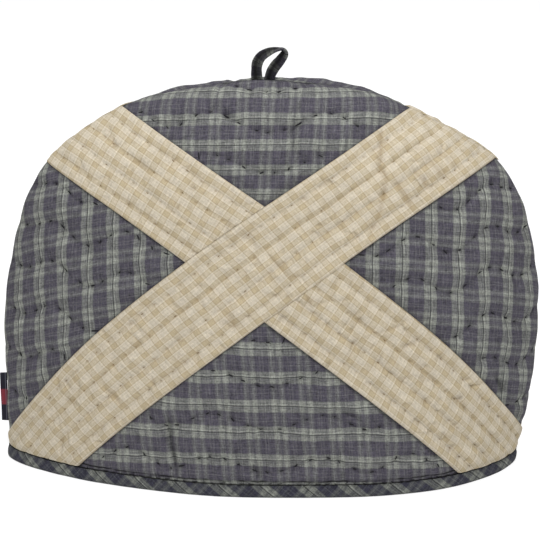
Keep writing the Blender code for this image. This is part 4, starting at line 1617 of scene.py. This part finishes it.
def sew_strips(name, side, seed):
    rows = []
    for part in CHECKS:
        shape = strip_face(part, SIDES[side], STRIP_ROWS, 900, strip_seed(side, part))
        for k in range(len(STRIP_ROWS)):
            rows.append(strip_row(k, SIDES[side], seed, shape[1][k], shape[2][k], shape[5][k]))
    return sew(name, rows, "cream_check", Thread=CREAM_THREAD,
               Length=0.0020, Thickness=0.00040, Dive=0.0004, Seed=seed)


STRIP_STITCHES = {
    "front": sew_strips("front_strip_stitches", "front", 301),
    "back": sew_strips("back_strip_stitches", "back", 401),
}


# %% Sew the binding down
BINDING_ROW_UP = 0.0011


def sew_binding(seed):
    spots = np.arange(0.002, HEM_RUN[-1], HEM_STITCH)
    ring = offset_loop(HEM["out"][1], 0.0007)
    points, ahead = [points_along(at, HEM_RUN, ring) for at in (spots, spots + STEP_AHEAD)]
    way = np.column_stack([ahead - points, np.zeros(len(spots))])
    way /= np.linalg.norm(way, axis=1, keepdims=True)
    normal = np.column_stack([way[:, 1], -way[:, 0], np.zeros(len(spots))])
    lift = np.random.default_rng(seed).normal(0, 0.0003, len(spots))
    points = np.column_stack([points, HEM_HEIGHT + BINDING_ROW_UP + lift])
    row = points, uneven(way, normal, seed, 0.25), normal
    return sew("binding_stitches", [row], "bias_plaid", Thread=DARK_THREAD,
               Length=0.0030, Thickness=0.00042, Dive=0.0004, Seed=seed)


HEM_ROWS = sew_binding(501)

# %% [markdown]
# Each strip is looked up with its wall, and each whole strip with its stitches.

for (side, part), strip in STRIPS.items():
    wall = FRONT if side == "front" else BACK
    extra = [STRIP_STITCHES[side]] if part == "whole" else []
print("strips declared:", sorted("%s %s" % which for which in STRIPS))

# %% [markdown]
# The cosy stands on a plain pale floor in soft light. A lamp in front and above gives the padding
# its shape, a wider one overhead lightens the top, and the pale room fills the shadows. The floor
# shines a little by itself and reflects little, which keeps it pale.

# %% Camera
CAMERA_UP = math.radians(20.0)
CAMERA_ROUND = math.radians(1.0)
CAMERA_AWAY = 1.330
CAMERA_LENS = 134.26
LOOK_AT = 0.1367


def place_camera():
    target = Vector((MIDDLE, 0.0, LOOK_AT))
    back = Vector((math.sin(CAMERA_ROUND) * math.cos(CAMERA_UP),
                   -math.cos(CAMERA_ROUND) * math.cos(CAMERA_UP), math.sin(CAMERA_UP)))
    data = bpy.data.cameras.new("camera")
    data.lens = CAMERA_LENS
    data.sensor_width = 36.0
    camera = put_in_scene("camera", data)
    camera.location = target + back * CAMERA_AWAY
    camera.rotation_euler = back.to_track_quat("Z", "Y").to_euler()
    bpy.context.scene.camera = camera


place_camera()
print("camera %.2f m away, %.0f degrees up" % (CAMERA_AWAY, math.degrees(CAMERA_UP)))

# %% Floor and light
FLOOR_HALF = 6
FLOOR_UP = -0.0002
FLOOR_GREY = 0.36
FLOOR_GLOW = 0.72
ROOM_LIGHT = 0.38


def soft_lamp(name, place, aim, size, power):
    data = bpy.data.lights.new(name, "AREA")
    data.shape = "SQUARE"
    data.size = size
    data.energy = power
    lamp = put_in_scene(name, data)
    lamp.location = place
    lamp.rotation_euler = (Vector(place) - Vector(aim)).to_track_quat("Z", "Y").to_euler()


def make_floor():
    mesh = bpy.data.meshes.new("floor")
    around = ((-1, -1), (1, -1), (1, 1), (-1, 1))
    corners = [(x * FLOOR_HALF, y * FLOOR_HALF, FLOOR_UP) for x, y in around]
    mesh.from_pydata(corners, [], [(0, 1, 2, 3)])
    material = bpy.data.materials.new("pale floor")
    material.use_nodes = True
    shader = material.node_tree.nodes["Principled BSDF"]
    shader.inputs["Base Color"].default_value = (FLOOR_GREY, FLOOR_GREY, FLOOR_GREY, 1.0)
    shader.inputs["Roughness"].default_value = 1.0
    shader.inputs["Emission Color"].default_value = (1.0, 1.0, 1.0, 1.0)
    shader.inputs["Emission Strength"].default_value = FLOOR_GLOW
    mesh.materials.append(material)
    put_in_scene("floor", mesh)


make_floor()
soft_lamp("front lamp", (0.10, -1.25, 1.75), (0, 0, 0.12), 0.5, 35.0)
soft_lamp("top lamp", (0.0, 0.2, 2.2), (0, 0, 0.1), 1.2, 20.0)
world = bpy.data.worlds.new("pale room")
world.use_nodes = True
world.node_tree.nodes["Background"].inputs["Color"].default_value = (1.0, 1.0, 1.0, 1.0)
world.node_tree.nodes["Background"].inputs["Strength"].default_value = ROOM_LIGHT
bpy.context.scene.world = world
bpy.context.scene.view_settings.view_transform = "Standard"
print("floor and lamps are in place")
